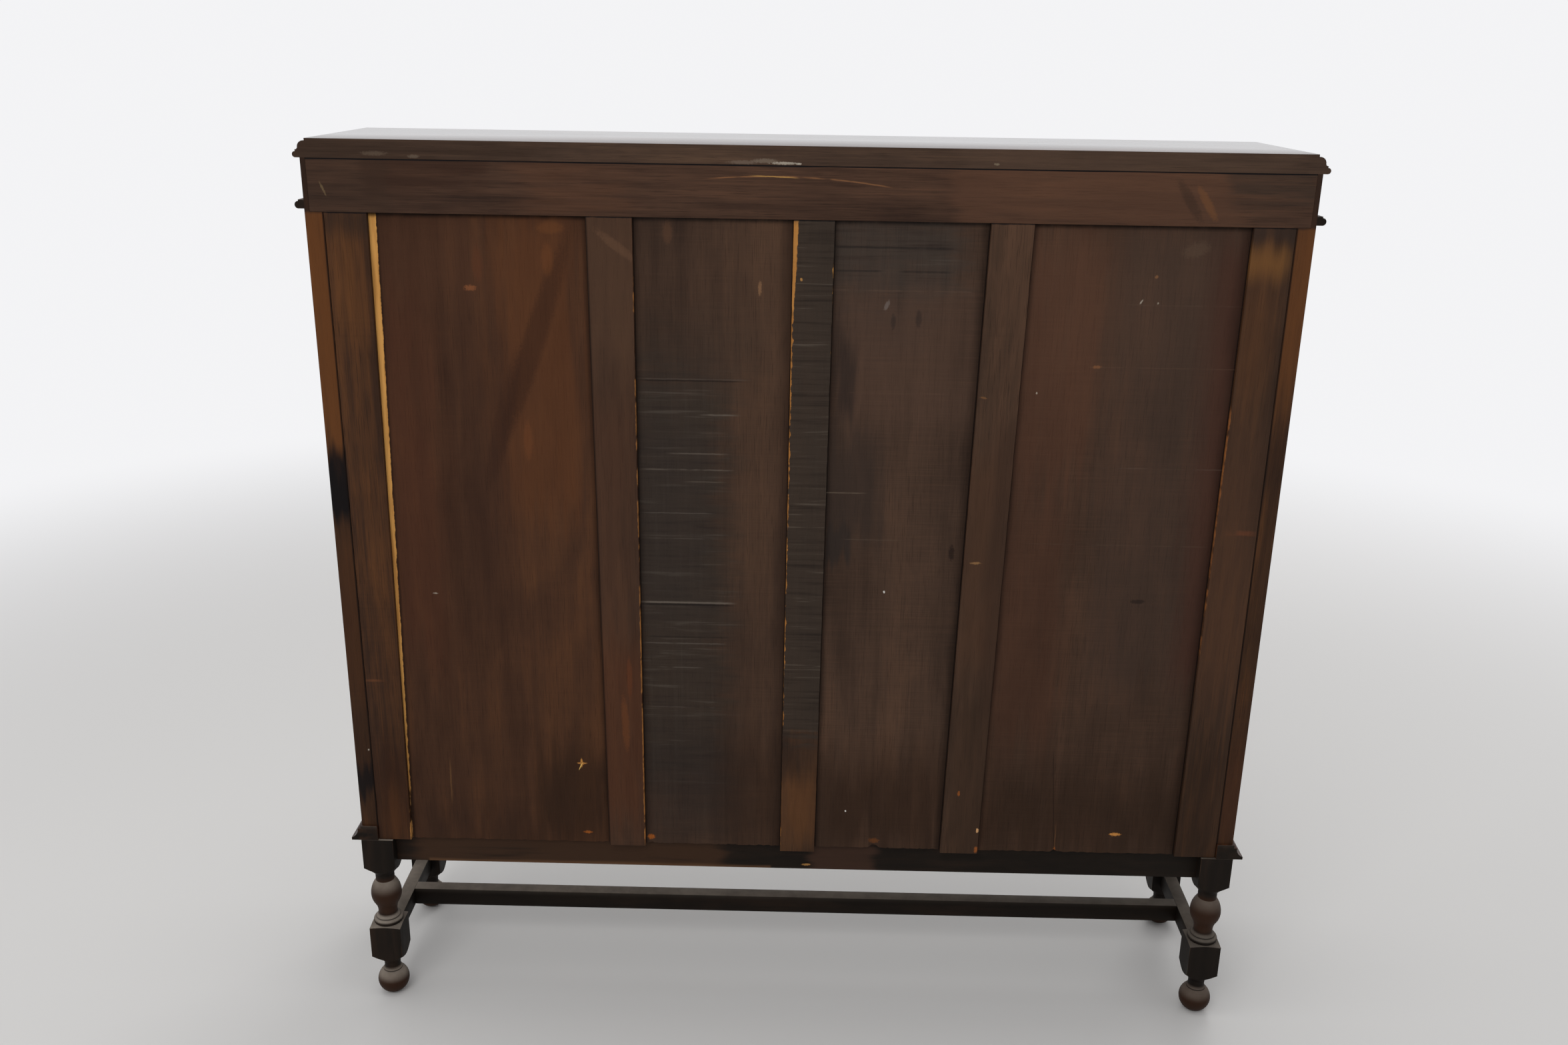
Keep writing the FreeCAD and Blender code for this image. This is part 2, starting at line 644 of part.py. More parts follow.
def keyhole(door, y_pair, fit):
    """Round hole with a slot below it, right through between two depths."""
    radius = KEY_SHANK_RADIUS + fit
    x = door.lock_edge - door.lock_side * KEY_BACKSET
    depth = max(y_pair) - min(y_pair)
    round_hole = Part.makeCylinder(radius, depth, point(x, min(y_pair), KEY_LEVEL), point(0, 1, 0))
    slot_x = around(x, KEY_BIT_THICKNESS + 2 * fit)
    slot = block(slot_x, y_pair, (KEY_LEVEL - KEY_BIT_REACH - fit, KEY_LEVEL))
    return round_hole.fuse(slot)


def door_frame(door):
    """Stiles and rails with their tenons, a rebate for the glass, and the beads that hold it."""
    back = FRONT + DOOR_THICKNESS
    y_pair = (FRONT, back)
    sight_x = (door.low + DOOR_STILE, door.high - DOOR_STILE)
    sight_z = (DOOR_BOTTOM + DOOR_BOTTOM_RAIL, DOOR_TOP - DOOR_TOP_RAIL)
    rebate_x = (sight_x[0] - REBATE_WIDTH, sight_x[1] + REBATE_WIDTH)
    rebate_z = (sight_z[0] - REBATE_WIDTH, sight_z[1] + REBATE_WIDTH)
    glass_back = back - REBATE_DEPTH + GLASS_THICKNESS
    rebate = block(rebate_x, (back - REBATE_DEPTH, back), rebate_z)
    tenon_y = around((FRONT + back) / 2, TENON_THICKNESS)
    rails = []
    mortises = []
    rail_spans = ((DOOR_BOTTOM, sight_z[0]), (sight_z[1], DOOR_TOP))
    tenon_spans = ((DOOR_BOTTOM + TENON_SHOULDER, rebate_z[0] - TENON_SHOULDER),
                   (rebate_z[1] + TENON_SHOULDER, DOOR_TOP - TENON_SHOULDER))
    for rail_z, tenon_z in zip(rail_spans, tenon_spans):
        rail = block(sight_x, y_pair, rail_z)
        for way, shoulder in ((-1, sight_x[0]), (1, sight_x[1])):
            tenon, mortise = tenon_at(way, shoulder, tenon_y, tenon_z)
            rail = rail.fuse(tenon)
            mortises.append(mortise)
        rails.append(rail.cut(rebate).removeSplitter())

    lock_x = (door.lock_edge, door.lock_edge - door.lock_side * LOCK_DEPTH)
    lock_pocket = block(lock_x, (back - LOCK_THICKNESS, back), around(LOCK_LEVEL, LOCK_HEIGHT))
    cuts = [rebate, lock_pocket, keyhole(door, y_pair, KEYHOLE_FIT)] + mortises
    for level in door.hinge_levels():
        cuts.append(leaf_pocket(door.hinge_edge, -door.hinge_side, level))
    stiles = []
    for x_pair in ((door.low, sight_x[0]), (sight_x[1], door.high)):
        stiles.append(without(block(x_pair, y_pair, (DOOR_BOTTOM, DOOR_TOP)), cuts))

    bead_y = (glass_back, back)
    beads = [
        block((rebate_x[0], sight_x[0]), bead_y, rebate_z),
        block((sight_x[1], rebate_x[1]), bead_y, rebate_z),
        block(sight_x, bead_y, (rebate_z[0], sight_z[0])),
        block(sight_x, bead_y, (sight_z[1], rebate_z[1])),
    ]
    save(door.name + "_frame", stiles + rails + beads)

    glass_x = (rebate_x[0] + LOOSE_FIT, rebate_x[1] - LOOSE_FIT)
    glass_z = (rebate_z[0], rebate_z[1] - LOOSE_FIT)
    save(door.name + "_glass", [block(glass_x, (back - REBATE_DEPTH, glass_back), glass_z)])
    save(door.name + "_glazing_bars", [glazing_bars(door, sight_x, sight_z, back - REBATE_DEPTH)])


def glazing_bars(door, sight_x, sight_z, glass_front):
    """Lattice of bevelled bars that lies on the glass, its level bars in line with the shelves."""
    front = glass_front - BAR_DEPTH
    half = BAR_WIDTH / 2

    def section():
        outline = Outline(-half, glass_front)
        outline.line(half, glass_front)
        outline.line(half, front + BAR_BEVEL)
        outline.line(half - BAR_BEVEL, front)
        outline.line(BAR_BEVEL - half, front)
        outline.line(-half, front + BAR_BEVEL)
        return outline

    bars = []
    pane = (sight_x[1] - sight_x[0]) / door.columns
    for number in range(1, door.columns):
        x = sight_x[0] + pane * number
        face = section().face(lambda u, v: point(x + u, v, sight_z[0]))
        bars.append(face.extrude(point(0, 0, sight_z[1] - sight_z[0])))
    for level in SHELF_LEVELS:
        face = section().face(lambda u, v: point(sight_x[0], v, level + u))
        bars.append(face.extrude(point(sight_x[1] - sight_x[0], 0, 0)))
    return joined(bars)


def door_lock(door):
    """Lock let into the stile from behind, its escutcheon, its bolt and its key."""
    back = FRONT + DOOR_THICKNESS
    side = door.lock_side
    edge = door.lock_edge
    case_y = (back - LOCK_THICKNESS, back)
    case_z = around(LOCK_LEVEL, LOCK_HEIGHT)
    case = block((edge, edge - side * LOCK_DEPTH), case_y, case_z)
    room = block(
        (edge - side * LOCK_WALL, edge - side * (LOCK_DEPTH - LOCK_WALL)),
        (case_y[0] + LOCK_WALL, case_y[1] - LOCK_WALL),
        (case_z[0] + LOCK_WALL, case_z[1] - LOCK_WALL),
    )
    bolt_y = around((case_y[0] + case_y[1]) / 2, BOLT_THICKNESS)
    bolt_z = (BOLT_LEVEL, BOLT_LEVEL + BOLT_HEIGHT)
    mouth = block(
        (edge, edge - side * (LOCK_WALL + OVERCUT)),
        (bolt_y[0] - METAL_FIT, bolt_y[1] + METAL_FIT),
        (bolt_z[0] - METAL_FIT, bolt_z[1] + METAL_FIT),
    )
    case_hole = keyhole(door, (case_y[0], case_y[0] + LOCK_WALL + OVERCUT), KEYHOLE_FIT)
    case = without(case, [room, mouth, case_hole])

    x = edge - side * KEY_BACKSET
    plate_y = (FRONT - ESCUTCHEON_THICKNESS, FRONT)
    half_width = ESCUTCHEON_WIDTH / 2
    plate_low = KEY_LEVEL - ESCUTCHEON_TIP_DROP
    shoulder = plate_low + ESCUTCHEON_SHOULDER
    shield = Outline(x, plate_low)
    shield.arc(x + half_width, shoulder, -ESCUTCHEON_SIDE_SAG)
    shield.arc(x - half_width, shoulder, -ESCUTCHEON_CROWN_SAG)
    shield.arc(x, plate_low, -ESCUTCHEON_SIDE_SAG)
    plate = shield.face(lambda u, v: point(u, plate_y[0], v)).extrude(point(0, ESCUTCHEON_THICKNESS, 0))
    plate = plate.cut(keyhole(door, plate_y, KEYHOLE_FIT))
    save(door.name + "_lock", [case, plate])

    save(door.name + "_bolt", [block((edge, edge - side * BOLT_LENGTH), bolt_y, bolt_z)])

    shank_end = case_y[1] - KEY_TIP_CLEARANCE
    bow_back = FRONT - ESCUTCHEON_THICKNESS - KEY_SHOULDER
    bow_y = bow_back - KEY_BOW_RADIUS
    shank_start = point(x, bow_y + KEY_BOW_HOLE, KEY_LEVEL)
    shank = Part.makeCylinder(KEY_SHANK_RADIUS, shank_end - shank_start.y, shank_start, point(0, 1, 0))
    bit_y = (shank_end - KEY_BIT_LENGTH, shank_end)
    bit = block(around(x, KEY_BIT_THICKNESS), bit_y, (KEY_LEVEL, KEY_LEVEL - KEY_BIT_REACH))
    bow_start = point(x - KEY_BOW_THICKNESS / 2, bow_y, KEY_LEVEL)
    across = point(1, 0, 0)
    bow = Part.makeCylinder(KEY_BOW_RADIUS, KEY_BOW_THICKNESS, bow_start, across)
    hole = Part.makeCylinder(KEY_BOW_HOLE, KEY_BOW_THICKNESS, bow_start, across)
    save(door.name + "_key", [joined([shank, bit, bow]).cut(hole)])


def door_hinges(door):
    """Leaves that swing with the door, bored to run on the pins."""
    own = range(1, KNUCKLE_COUNT, 2)
    leaves = []
    for level in door.hinge_levels():
        leaves.append(hinge_leaf(door, level, door.hinge_edge, -door.hinge_side, own))
    save(door.name + "_hinge_leaves", leaves)


# Carcase

def side_frames():
    """Posts, rails and panels of the two sides, grooved and tenoned together."""
    panel_y = (FRONT + POST_DEPTH, BACK - POST_DEPTH)
    panel_z = (BASE_TOP + SIDE_BOTTOM_RAIL, TOP_UNDERSIDE - SIDE_TOP_RAIL)
    groove_y = (panel_y[0] - GROOVE_DEPTH, panel_y[1] + GROOVE_DEPTH)
    groove_z = (panel_z[0] - GROOVE_DEPTH, panel_z[1] + GROOVE_DEPTH)
    rail_spans = ((BASE_TOP, panel_z[0]), (panel_z[1], TOP_UNDERSIDE))
    frieze_tenon_z = (FRIEZE_BOTTOM + TENON_SHOULDER, TOP_UNDERSIDE - TENON_SHOULDER)
    frieze_tenon_y = around(FRONT + FRIEZE_THICKNESS / 2, TENON_THICKNESS)
    frieze_y = (FRONT, FRONT + FRIEZE_THICKNESS)
    frieze = block((-INNER_HALF, INNER_HALF), frieze_y, (FRIEZE_BOTTOM, TOP_UNDERSIDE))
    rail_end = HALF_WIDTH - BACK_RAIL_LIP
    back_rail_y = (BACK - BACK_RAIL_THICKNESS, BACK)
    side_rails = []
    for side, name in ((LEFT, "left"), (RIGHT, "right")):
        middle = side * (HALF_WIDTH - POST_THICKNESS / 2)
        x_pair = (side * INNER_HALF, side * HALF_WIDTH)
        groove = block(around(middle, SIDE_PANEL_THICKNESS + WOOD_FIT), groove_y, groove_z)
        cuts = [groove]
        for rail_z in rail_spans:
            rail = block(x_pair, panel_y, rail_z)
            tenon_z = (rail_z[0] + TENON_SHOULDER, rail_z[1] - TENON_SHOULDER)
            for way, shoulder in ((-1, panel_y[0]), (1, panel_y[1])):
                cross = around(middle, TENON_THICKNESS)
                tenon, mortise = tenon_at(way, shoulder, cross, tenon_z, along_x=False)
                rail = rail.fuse(tenon)
                cuts.append(mortise)
            side_rails.append(rail.cut(groove).removeSplitter())
        tenon, mortise = tenon_at(
            side, side * INNER_HALF, frieze_tenon_y, frieze_tenon_z, length=SHORT_TENON)
        frieze = frieze.fuse(tenon)

        post_z = (BASE_TOP, TOP_UNDERSIDE)
        front_post = block(x_pair, (FRONT, panel_y[0]), post_z)
        save(name + "_front_post", [without(front_post, cuts + [mortise] + wall_cuts())])
        housing = block((side * INNER_HALF, side * rail_end), back_rail_y, (FRIEZE_BOTTOM, TOP_UNDERSIDE))
        rear_post = block(x_pair, (panel_y[1], BACK), post_z)
        save(name + "_rear_post", [without(rear_post, cuts + [housing])])

        fit_y = (groove_y[0] + LOOSE_FIT, groove_y[1] - LOOSE_FIT)
        fit_z = (groove_z[0], groove_z[1] - LOOSE_FIT)
        save(name + "_side_panel", [block(around(middle, SIDE_PANEL_THICKNESS), fit_y, fit_z)])
    save("side_rails", side_rails)
    save("frieze_rail", [frieze.removeSplitter()])


def carcase_boards():
    """Top, bottom board and the two partitions that part the bays."""
    save("top_board", [top_board()])
    save("string_moulding", string_moulding())
    inside = (-INNER_HALF, INNER_HALF)
    save("bottom_board", [block(inside, (FRONT, PANEL_FRONT), (BASE_TOP, BOARD_TOP))])
    upper = (FRIEZE_BOTTOM, TOP_UNDERSIDE)
    for side, name in ((LEFT, "left"), (RIGHT, "right")):
        x_pair = around(side * PARTITION_OFFSET, PARTITION_THICKNESS)
        board = block(x_pair, (FRONT, PANEL_FRONT), (BOARD_TOP, TOP_UNDERSIDE))
        frieze_notch = block(x_pair, (FRONT, FRONT + FRIEZE_THICKNESS), upper)
        rail_notch = block(x_pair, (BACK - BACK_RAIL_THICKNESS, BACK), upper)
        save(name + "_partition", [without(board, [frieze_notch, rail_notch] + wall_cuts())])


def shelves():
    """Shelves of the three bays and the bearers under their ends."""
    front = FRONT + DOOR_THICKNESS + SHELF_SET_BACK
    y_pair = (front, PANEL_FRONT)
    bearer_y = (front + BEARER_SET_BACK, PANEL_FRONT)
    outer = []
    centre = []
    bearers = []
    for door in DOORS:
        x_pair = (door.opening[0] + LOOSE_FIT, door.opening[1] - LOOSE_FIT)
        group = centre if door.name == "centre_door" else outer
        for level in SHELF_LEVELS:
            underside = level - SHELF_THICKNESS / 2
            group.append(block(x_pair, y_pair, (underside, underside + SHELF_THICKNESS)))
            bearer_z = (underside - BEARER_HEIGHT, underside)
            for wall, way in ((door.opening[0], 1), (door.opening[1], -1)):
                bearers.append(block((wall, wall + way * BEARER_WIDTH), bearer_y, bearer_z))
    save("outer_shelves", outer)
    save("centre_shelves", centre)
    save("shelf_bearers", bearers)


def back_board(top_pair, foot_pair, foot):
    """Upright strip of the back, wider or narrower at its foot and free to lean."""
    outline = Outline(top_pair[0], FRIEZE_BOTTOM)
    outline.line(top_pair[1], FRIEZE_BOTTOM)
    outline.line(foot_pair[1], foot)
    outline.line(foot_pair[0], foot)
    face = outline.face(lambda u, v: point(u, MUNTIN_FRONT, v))
    return face.extrude(point(0, MUNTIN_THICKNESS, 0))


def back():
    """Top rail, stiles, muntins and the thin panels whose joints the muntins cover."""
    rail_end = HALF_WIDTH - BACK_RAIL_LIP
    rail_y = (BACK - BACK_RAIL_THICKNESS, BACK)
    rail = block((-rail_end, rail_end), rail_y, (FRIEZE_BOTTOM, TOP_UNDERSIDE))
    rabbet_top = FRIEZE_BOTTOM + BACK_RABBET
    rabbet = block((-INNER_HALF, INNER_HALF), (rail_y[0], MUNTIN_FRONT), (FRIEZE_BOTTOM, rabbet_top))
    save("back_rail", [rail.cut(rabbet)])

    edge = INNER_HALF - WOOD_FIT
    stile_foot = STAND_HEIGHT + STILE_RISE
    save("left_back_stile", [back_board(
        (-edge, LEFT_STILE_TOP - edge), (-edge, LEFT_STILE_FOOT - edge), stile_foot)])
    save("right_back_stile", [back_board(
        (edge - RIGHT_STILE_TOP, edge), (edge - RIGHT_STILE_FOOT, edge), stile_foot)])

    save("left_muntin", [back_board(
        around(LEFT_MUNTIN_TOP_SHIFT - PARTITION_OFFSET, LEFT_MUNTIN_TOP),
        around(LEFT_MUNTIN_FOOT_SHIFT - PARTITION_OFFSET, LEFT_MUNTIN_FOOT),
        STAND_HEIGHT - LEFT_MUNTIN_DROP)])
    save("centre_muntin", [back_board(
        around(CENTRE_MUNTIN_TOP_SHIFT, CENTRE_MUNTIN_TOP),
        around(CENTRE_MUNTIN_FOOT_SHIFT, CENTRE_MUNTIN_FOOT),
        STAND_HEIGHT - CENTRE_MUNTIN_DROP)])
    save("right_muntin", [back_board(
        around(PARTITION_OFFSET + RIGHT_MUNTIN_TOP_SHIFT, RIGHT_MUNTIN_TOP),
        around(PARTITION_OFFSET + RIGHT_MUNTIN_FOOT_SHIFT, RIGHT_MUNTIN_FOOT),
        STAND_HEIGHT - RIGHT_MUNTIN_DROP)])

    middle = (CENTRE_MUNTIN_TOP_SHIFT + CENTRE_MUNTIN_FOOT_SHIFT) / 2
    gap = PANEL_JOINT / 2
    spans = {
        "back_panel_far_left": (-edge, -PARTITION_OFFSET - gap),
        "back_panel_mid_left": (-PARTITION_OFFSET + gap, middle - gap),
        "back_panel_mid_right": (middle + gap, PARTITION_OFFSET - gap),
        "back_panel_far_right": (PARTITION_OFFSET + gap, edge),
    }
    panel_z = (STAND_HEIGHT, rabbet_top - LOOSE_FIT)
    for node, x_pair in spans.items():
        save(node, [block(x_pair, (PANEL_FRONT, MUNTIN_FRONT), panel_z)])


def build():
    """Make every node of the cabinet."""
    os.makedirs("parts", exist_ok=True)
    stand()
    side_frames()
    carcase_boards()
    shelves()
    back()
    fixed_hinges()
    for door in DOORS:
        door_frame(door)
        door_lock(door)
        door_hinges(door)


build()
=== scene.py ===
import json
import logging
import math
import random
from dataclasses import dataclass, field
from enum import Enum
from typing import Callable, Optional, Union

import bmesh
import bpy
from mathutils import Matrix, Vector

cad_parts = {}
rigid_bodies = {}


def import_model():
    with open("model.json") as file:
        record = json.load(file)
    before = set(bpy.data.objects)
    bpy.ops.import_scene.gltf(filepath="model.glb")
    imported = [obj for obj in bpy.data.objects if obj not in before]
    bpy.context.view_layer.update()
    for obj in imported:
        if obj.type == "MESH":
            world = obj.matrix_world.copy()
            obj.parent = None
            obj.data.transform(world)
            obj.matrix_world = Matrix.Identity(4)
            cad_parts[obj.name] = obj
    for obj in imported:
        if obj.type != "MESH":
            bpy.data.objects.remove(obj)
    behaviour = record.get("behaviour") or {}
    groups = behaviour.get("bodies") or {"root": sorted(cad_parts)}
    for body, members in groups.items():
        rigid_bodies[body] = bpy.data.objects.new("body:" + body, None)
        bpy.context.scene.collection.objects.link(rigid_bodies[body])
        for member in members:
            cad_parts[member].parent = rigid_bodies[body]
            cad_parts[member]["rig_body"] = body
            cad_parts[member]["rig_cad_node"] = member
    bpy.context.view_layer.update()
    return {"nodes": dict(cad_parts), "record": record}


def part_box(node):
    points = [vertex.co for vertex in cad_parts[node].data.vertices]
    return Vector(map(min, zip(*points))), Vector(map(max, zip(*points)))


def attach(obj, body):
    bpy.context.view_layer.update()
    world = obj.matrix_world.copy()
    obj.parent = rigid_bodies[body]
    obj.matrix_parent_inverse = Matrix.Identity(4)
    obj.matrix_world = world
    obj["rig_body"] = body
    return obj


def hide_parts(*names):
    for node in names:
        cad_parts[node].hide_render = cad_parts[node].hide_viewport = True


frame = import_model()
LOG = logging.getLogger("cabinet")

Colour = tuple[float, float, float, float]
Triple = tuple[float, float, float]
Pair = tuple[float, float]

SEED_STEP: Triple = (7.3, 3.1, 5.7)


def tint(red: int, green: int, blue: int) -> Colour:
    """Linear colour for a paint that is named by its display values.

    Args:
        red: Display value from 0 to 255.
        green: Display value from 0 to 255.
        blue: Display value from 0 to 255.

    Returns:
        Linear red, green, blue and an alpha of 1.
    """
    def linear(value: int) -> float:
        """Linear share of one display value."""
        part = value / 255.0
        return part / 12.92 if part <= 0.04045 else ((part + 0.055) / 1.055) ** 2.4

    return (linear(red), linear(green), linear(blue), 1.0)


BARE_TAN = tint(196, 136, 70)
BARE_ORANGE = tint(150, 84, 36)
DUST = tint(176, 166, 150)
# Near black: black stain on the rear posts, and painted shade in the leg grooves, at the strip heads and
# under the top.
BLACK_STAIN_AND_SHADE = tint(16, 15, 17)
# Colour of painted shade beside and under parts.
PAINTED_SHADE = tint(20, 14, 12)


class Grain(Enum):
    """Axis that the fibres of a board run along."""

    X = 0
    Y = 1
    Z = 2

    def scale(self, across: float, along: float) -> Triple:
        """Pattern scale on each axis, for features drawn out along the fibres.

        Args:
            across: Features per metre across the fibres.
            along: Features per metre along the fibres.

        Returns:
            Features per metre on x, y and z.
        """
        values = [across, across, across]
        values[self.value] = along
        return (values[0], values[1], values[2])


class Side(Enum):
    """Where the marked wood lies, seen from the edge line of a mark."""

    LOWER_X = -1.0
    HIGHER_X = 1.0


class Pick(Enum):
    """What is picked on a mesh: points, edges or faces."""

    POINTS = (True, False, False)
    EDGES = (False, True, False)
    FACES = (False, False, True)


# Shader values and trees


class Value:
    """A number that changes over a surface; an expression on it adds Math nodes."""

    def __init__(self, shader: "Shader", socket: bpy.types.NodeSocket) -> None:
        """Wrap one output socket of a shader's tree."""
        self.shader = shader
        self.socket = socket

    def math(self, operation: str, first: "Number", second: "Number" = 0.0) -> "Value":
        """Add one Math node.

        Args:
            operation: Blender's name of the operation.
            first: First value or number.
            second: Second value or number.

        Returns:
            The node's result.
        """
        return self.shader.value("Math", {"operation": operation}, {0: first, 1: second})

    def __add__(self, other: "Number") -> "Value":
        """Sum."""
        return self.math("ADD", self, other)

    __radd__ = __add__

    def __sub__(self, other: "Number") -> "Value":
        """Difference."""
        return self.math("SUBTRACT", self, other)

    def __rsub__(self, other: "Number") -> "Value":
        """Difference from a number."""
        return self.math("SUBTRACT", other, self)

    def __mul__(self, other: "Number") -> "Value":
        """Product."""
        return self.math("MULTIPLY", self, other)

    __rmul__ = __mul__

    def __truediv__(self, other: "Number") -> "Value":
        """Quotient."""
        return self.math("DIVIDE", self, other)

    def __abs__(self) -> "Value":
        """Size without its sign."""
        return self.math("ABSOLUTE", self)

    def high(self, other: "Number") -> "Value":
        """The larger of two values."""
        return self.math("MAXIMUM", self, other)

    def low(self, other: "Number") -> "Value":
        """The smaller of two values."""
        return self.math("MINIMUM", self, other)

    def rise(self, start: float, end: float) -> "Value":
        """Smooth step from 0 at start to 1 at end, which may lie below start.

        Args:
            start: Value that gives 0.
            end: Value that gives 1.

        Returns:
            The step, between 0 and 1.
        """
        ends = {1: min(start, end), 2: max(start, end), 3: float(start > end), 4: float(start <= end)}
        return self.shader.value("MapRange", {"interpolation_type": "SMOOTHSTEP"}, {0: self, **ends})

    def window(self, start: float, end: float, soft: float) -> "Value":
        """1 between two limits and 0 outside them, with soft edges.

        Args:
            start: Lower limit.
            end: Upper limit.
            soft: Half the width of each edge.

        Returns:
            The window, between 0 and 1.
        """
        return self.rise(start - soft, start + soft) * self.rise(end + soft, end - soft)


Number = Union[Value, float, int]


class Shader:
    """A node tree that is filled through one method."""

    def __init__(self, owner: Union[bpy.types.Material, bpy.types.World]) -> None:
        """Clear a node tree and start it anew.

        Args:
            owner: Material or world that the tree belongs to.
        """
        owner.use_nodes = True
        self.tree = owner.node_tree
        self.tree.nodes.clear()

    def node(self, kind: str, settings: Optional[dict] = None,
             sockets: Optional[dict] = None) -> bpy.types.Node:
        """Add one node.

        Args:
            kind: Node type without the ShaderNode prefix.
            settings: Properties, set first; "stops" holds a ramp's places and colours.
            sockets: Values or links of input sockets, by name or number.

        Returns:
            The new node.
        """
        made = self.tree.nodes.new("ShaderNode" + kind)
        for key, value in (settings or {}).items():
            if key == "stops":
                ramp = made.color_ramp
                while len(ramp.elements) < len(value):
                    ramp.elements.new(1.0)
                for element, (place, colour) in zip(ramp.elements, value):
                    element.position = place
                    element.color = colour
            else:
                setattr(made, key, value)
        for key, value in (sockets or {}).items():
            source = value.socket if isinstance(value, Value) else value
            if isinstance(source, bpy.types.NodeSocket):
                self.tree.links.new(source, made.inputs[key])
            else:
                made.inputs[key].default_value = source
        return made

    def value(self, kind: str, settings: Optional[dict] = None, sockets: Optional[dict] = None) -> Value:
        """First output of a new node, as a value."""
        return Value(self, self.node(kind, settings, sockets).outputs[0])

    def place(self) -> None:
        """Read the object's own coordinates once, whole and axis by axis."""
        self.where = self.node("TexCoord").outputs["Object"]
        parts = self.node("SeparateXYZ", None, {0: self.where})
        self.x = Value(self, parts.outputs[0])
        self.y = Value(self, parts.outputs[1])
        self.z = Value(self, parts.outputs[2])

    def beside(self, foot: Pair, top: Pair) -> Value:
        """How far a place lies beside a leaning upright line.

        Args:
            foot: Lower end of the line, as x and z.
            top: Upper end of the line, as x and z.

        Returns:
            The distance along x, below 0 on the side of lower x.
        """
        slope = (top[0] - foot[0]) / (top[1] - foot[1])
        return self.x - foot[0] - (self.z - foot[1]) * slope

    def noise(self, scale: Union[float, Triple], detail: float = 2.0, rough: float = 0.5, warp: float = 0.0,
              seed: float = 0.0) -> Value:
        """Soft noise in the object's coordinates.

        Args:
            scale: Features per metre, as one number or on each axis.
            detail: Octaves.
            rough: Strength of the finer octaves.
            warp: Distortion.
            seed: Shift that gives each finish its own pattern.

        Returns:
            Noise between 0 and 1.
        """
        sizes = (scale, scale, scale) if isinstance(scale, float) else scale
        shift = tuple(seed * step for step in SEED_STEP)
        spread = self.node("Mapping", None, {"Vector": self.where, "Scale": sizes, "Location": shift})
        return self.value("TexNoise", None, {
            "Vector": spread.outputs[0], "Scale": 1.0, "Detail": detail, "Roughness": rough,
            "Distortion": warp})

    def blend(self, factor: Number, first: object, second: object, mode: str = "MIX") -> bpy.types.NodeSocket:
        """Mix two colours.

        Args:
            factor: Share of the second colour.
            first: Colour or colour socket.
            second: Colour or colour socket.
            mode: Blender's name of the way they mix.

        Returns:
            The mixed colour's socket.
        """
        settings = {"data_type": "RGBA", "blend_type": mode}
        return self.node("Mix", settings, {0: factor, 6: first, 7: second}).outputs[2]


# Finishes


@dataclass(frozen=True)
class Stain:
    """Colours and sheen of a stained timber, and how strongly each part of its grain shows."""

    name: str
    deep: Colour
    mid: Colour
    light: Colour
    bare: Colour = tint(122, 82, 48)
    roughness: float = 0.55
    specular: float = 0.08
    coat: float = 0.0
    coat_roughness: float = 0.12
    bands: float = 0.9
    figure: float = 0.22
    fibre: float = 0.45
    saw: float = 0.2
    weave: float = 0.0
    relief: float = 0.10
    ring: float = 17.0
    heart: Triple = (0.05, 0.16, 0.0)
    lean: float = 4.0
    wear: float = 0.5
    seed: float = 0.0


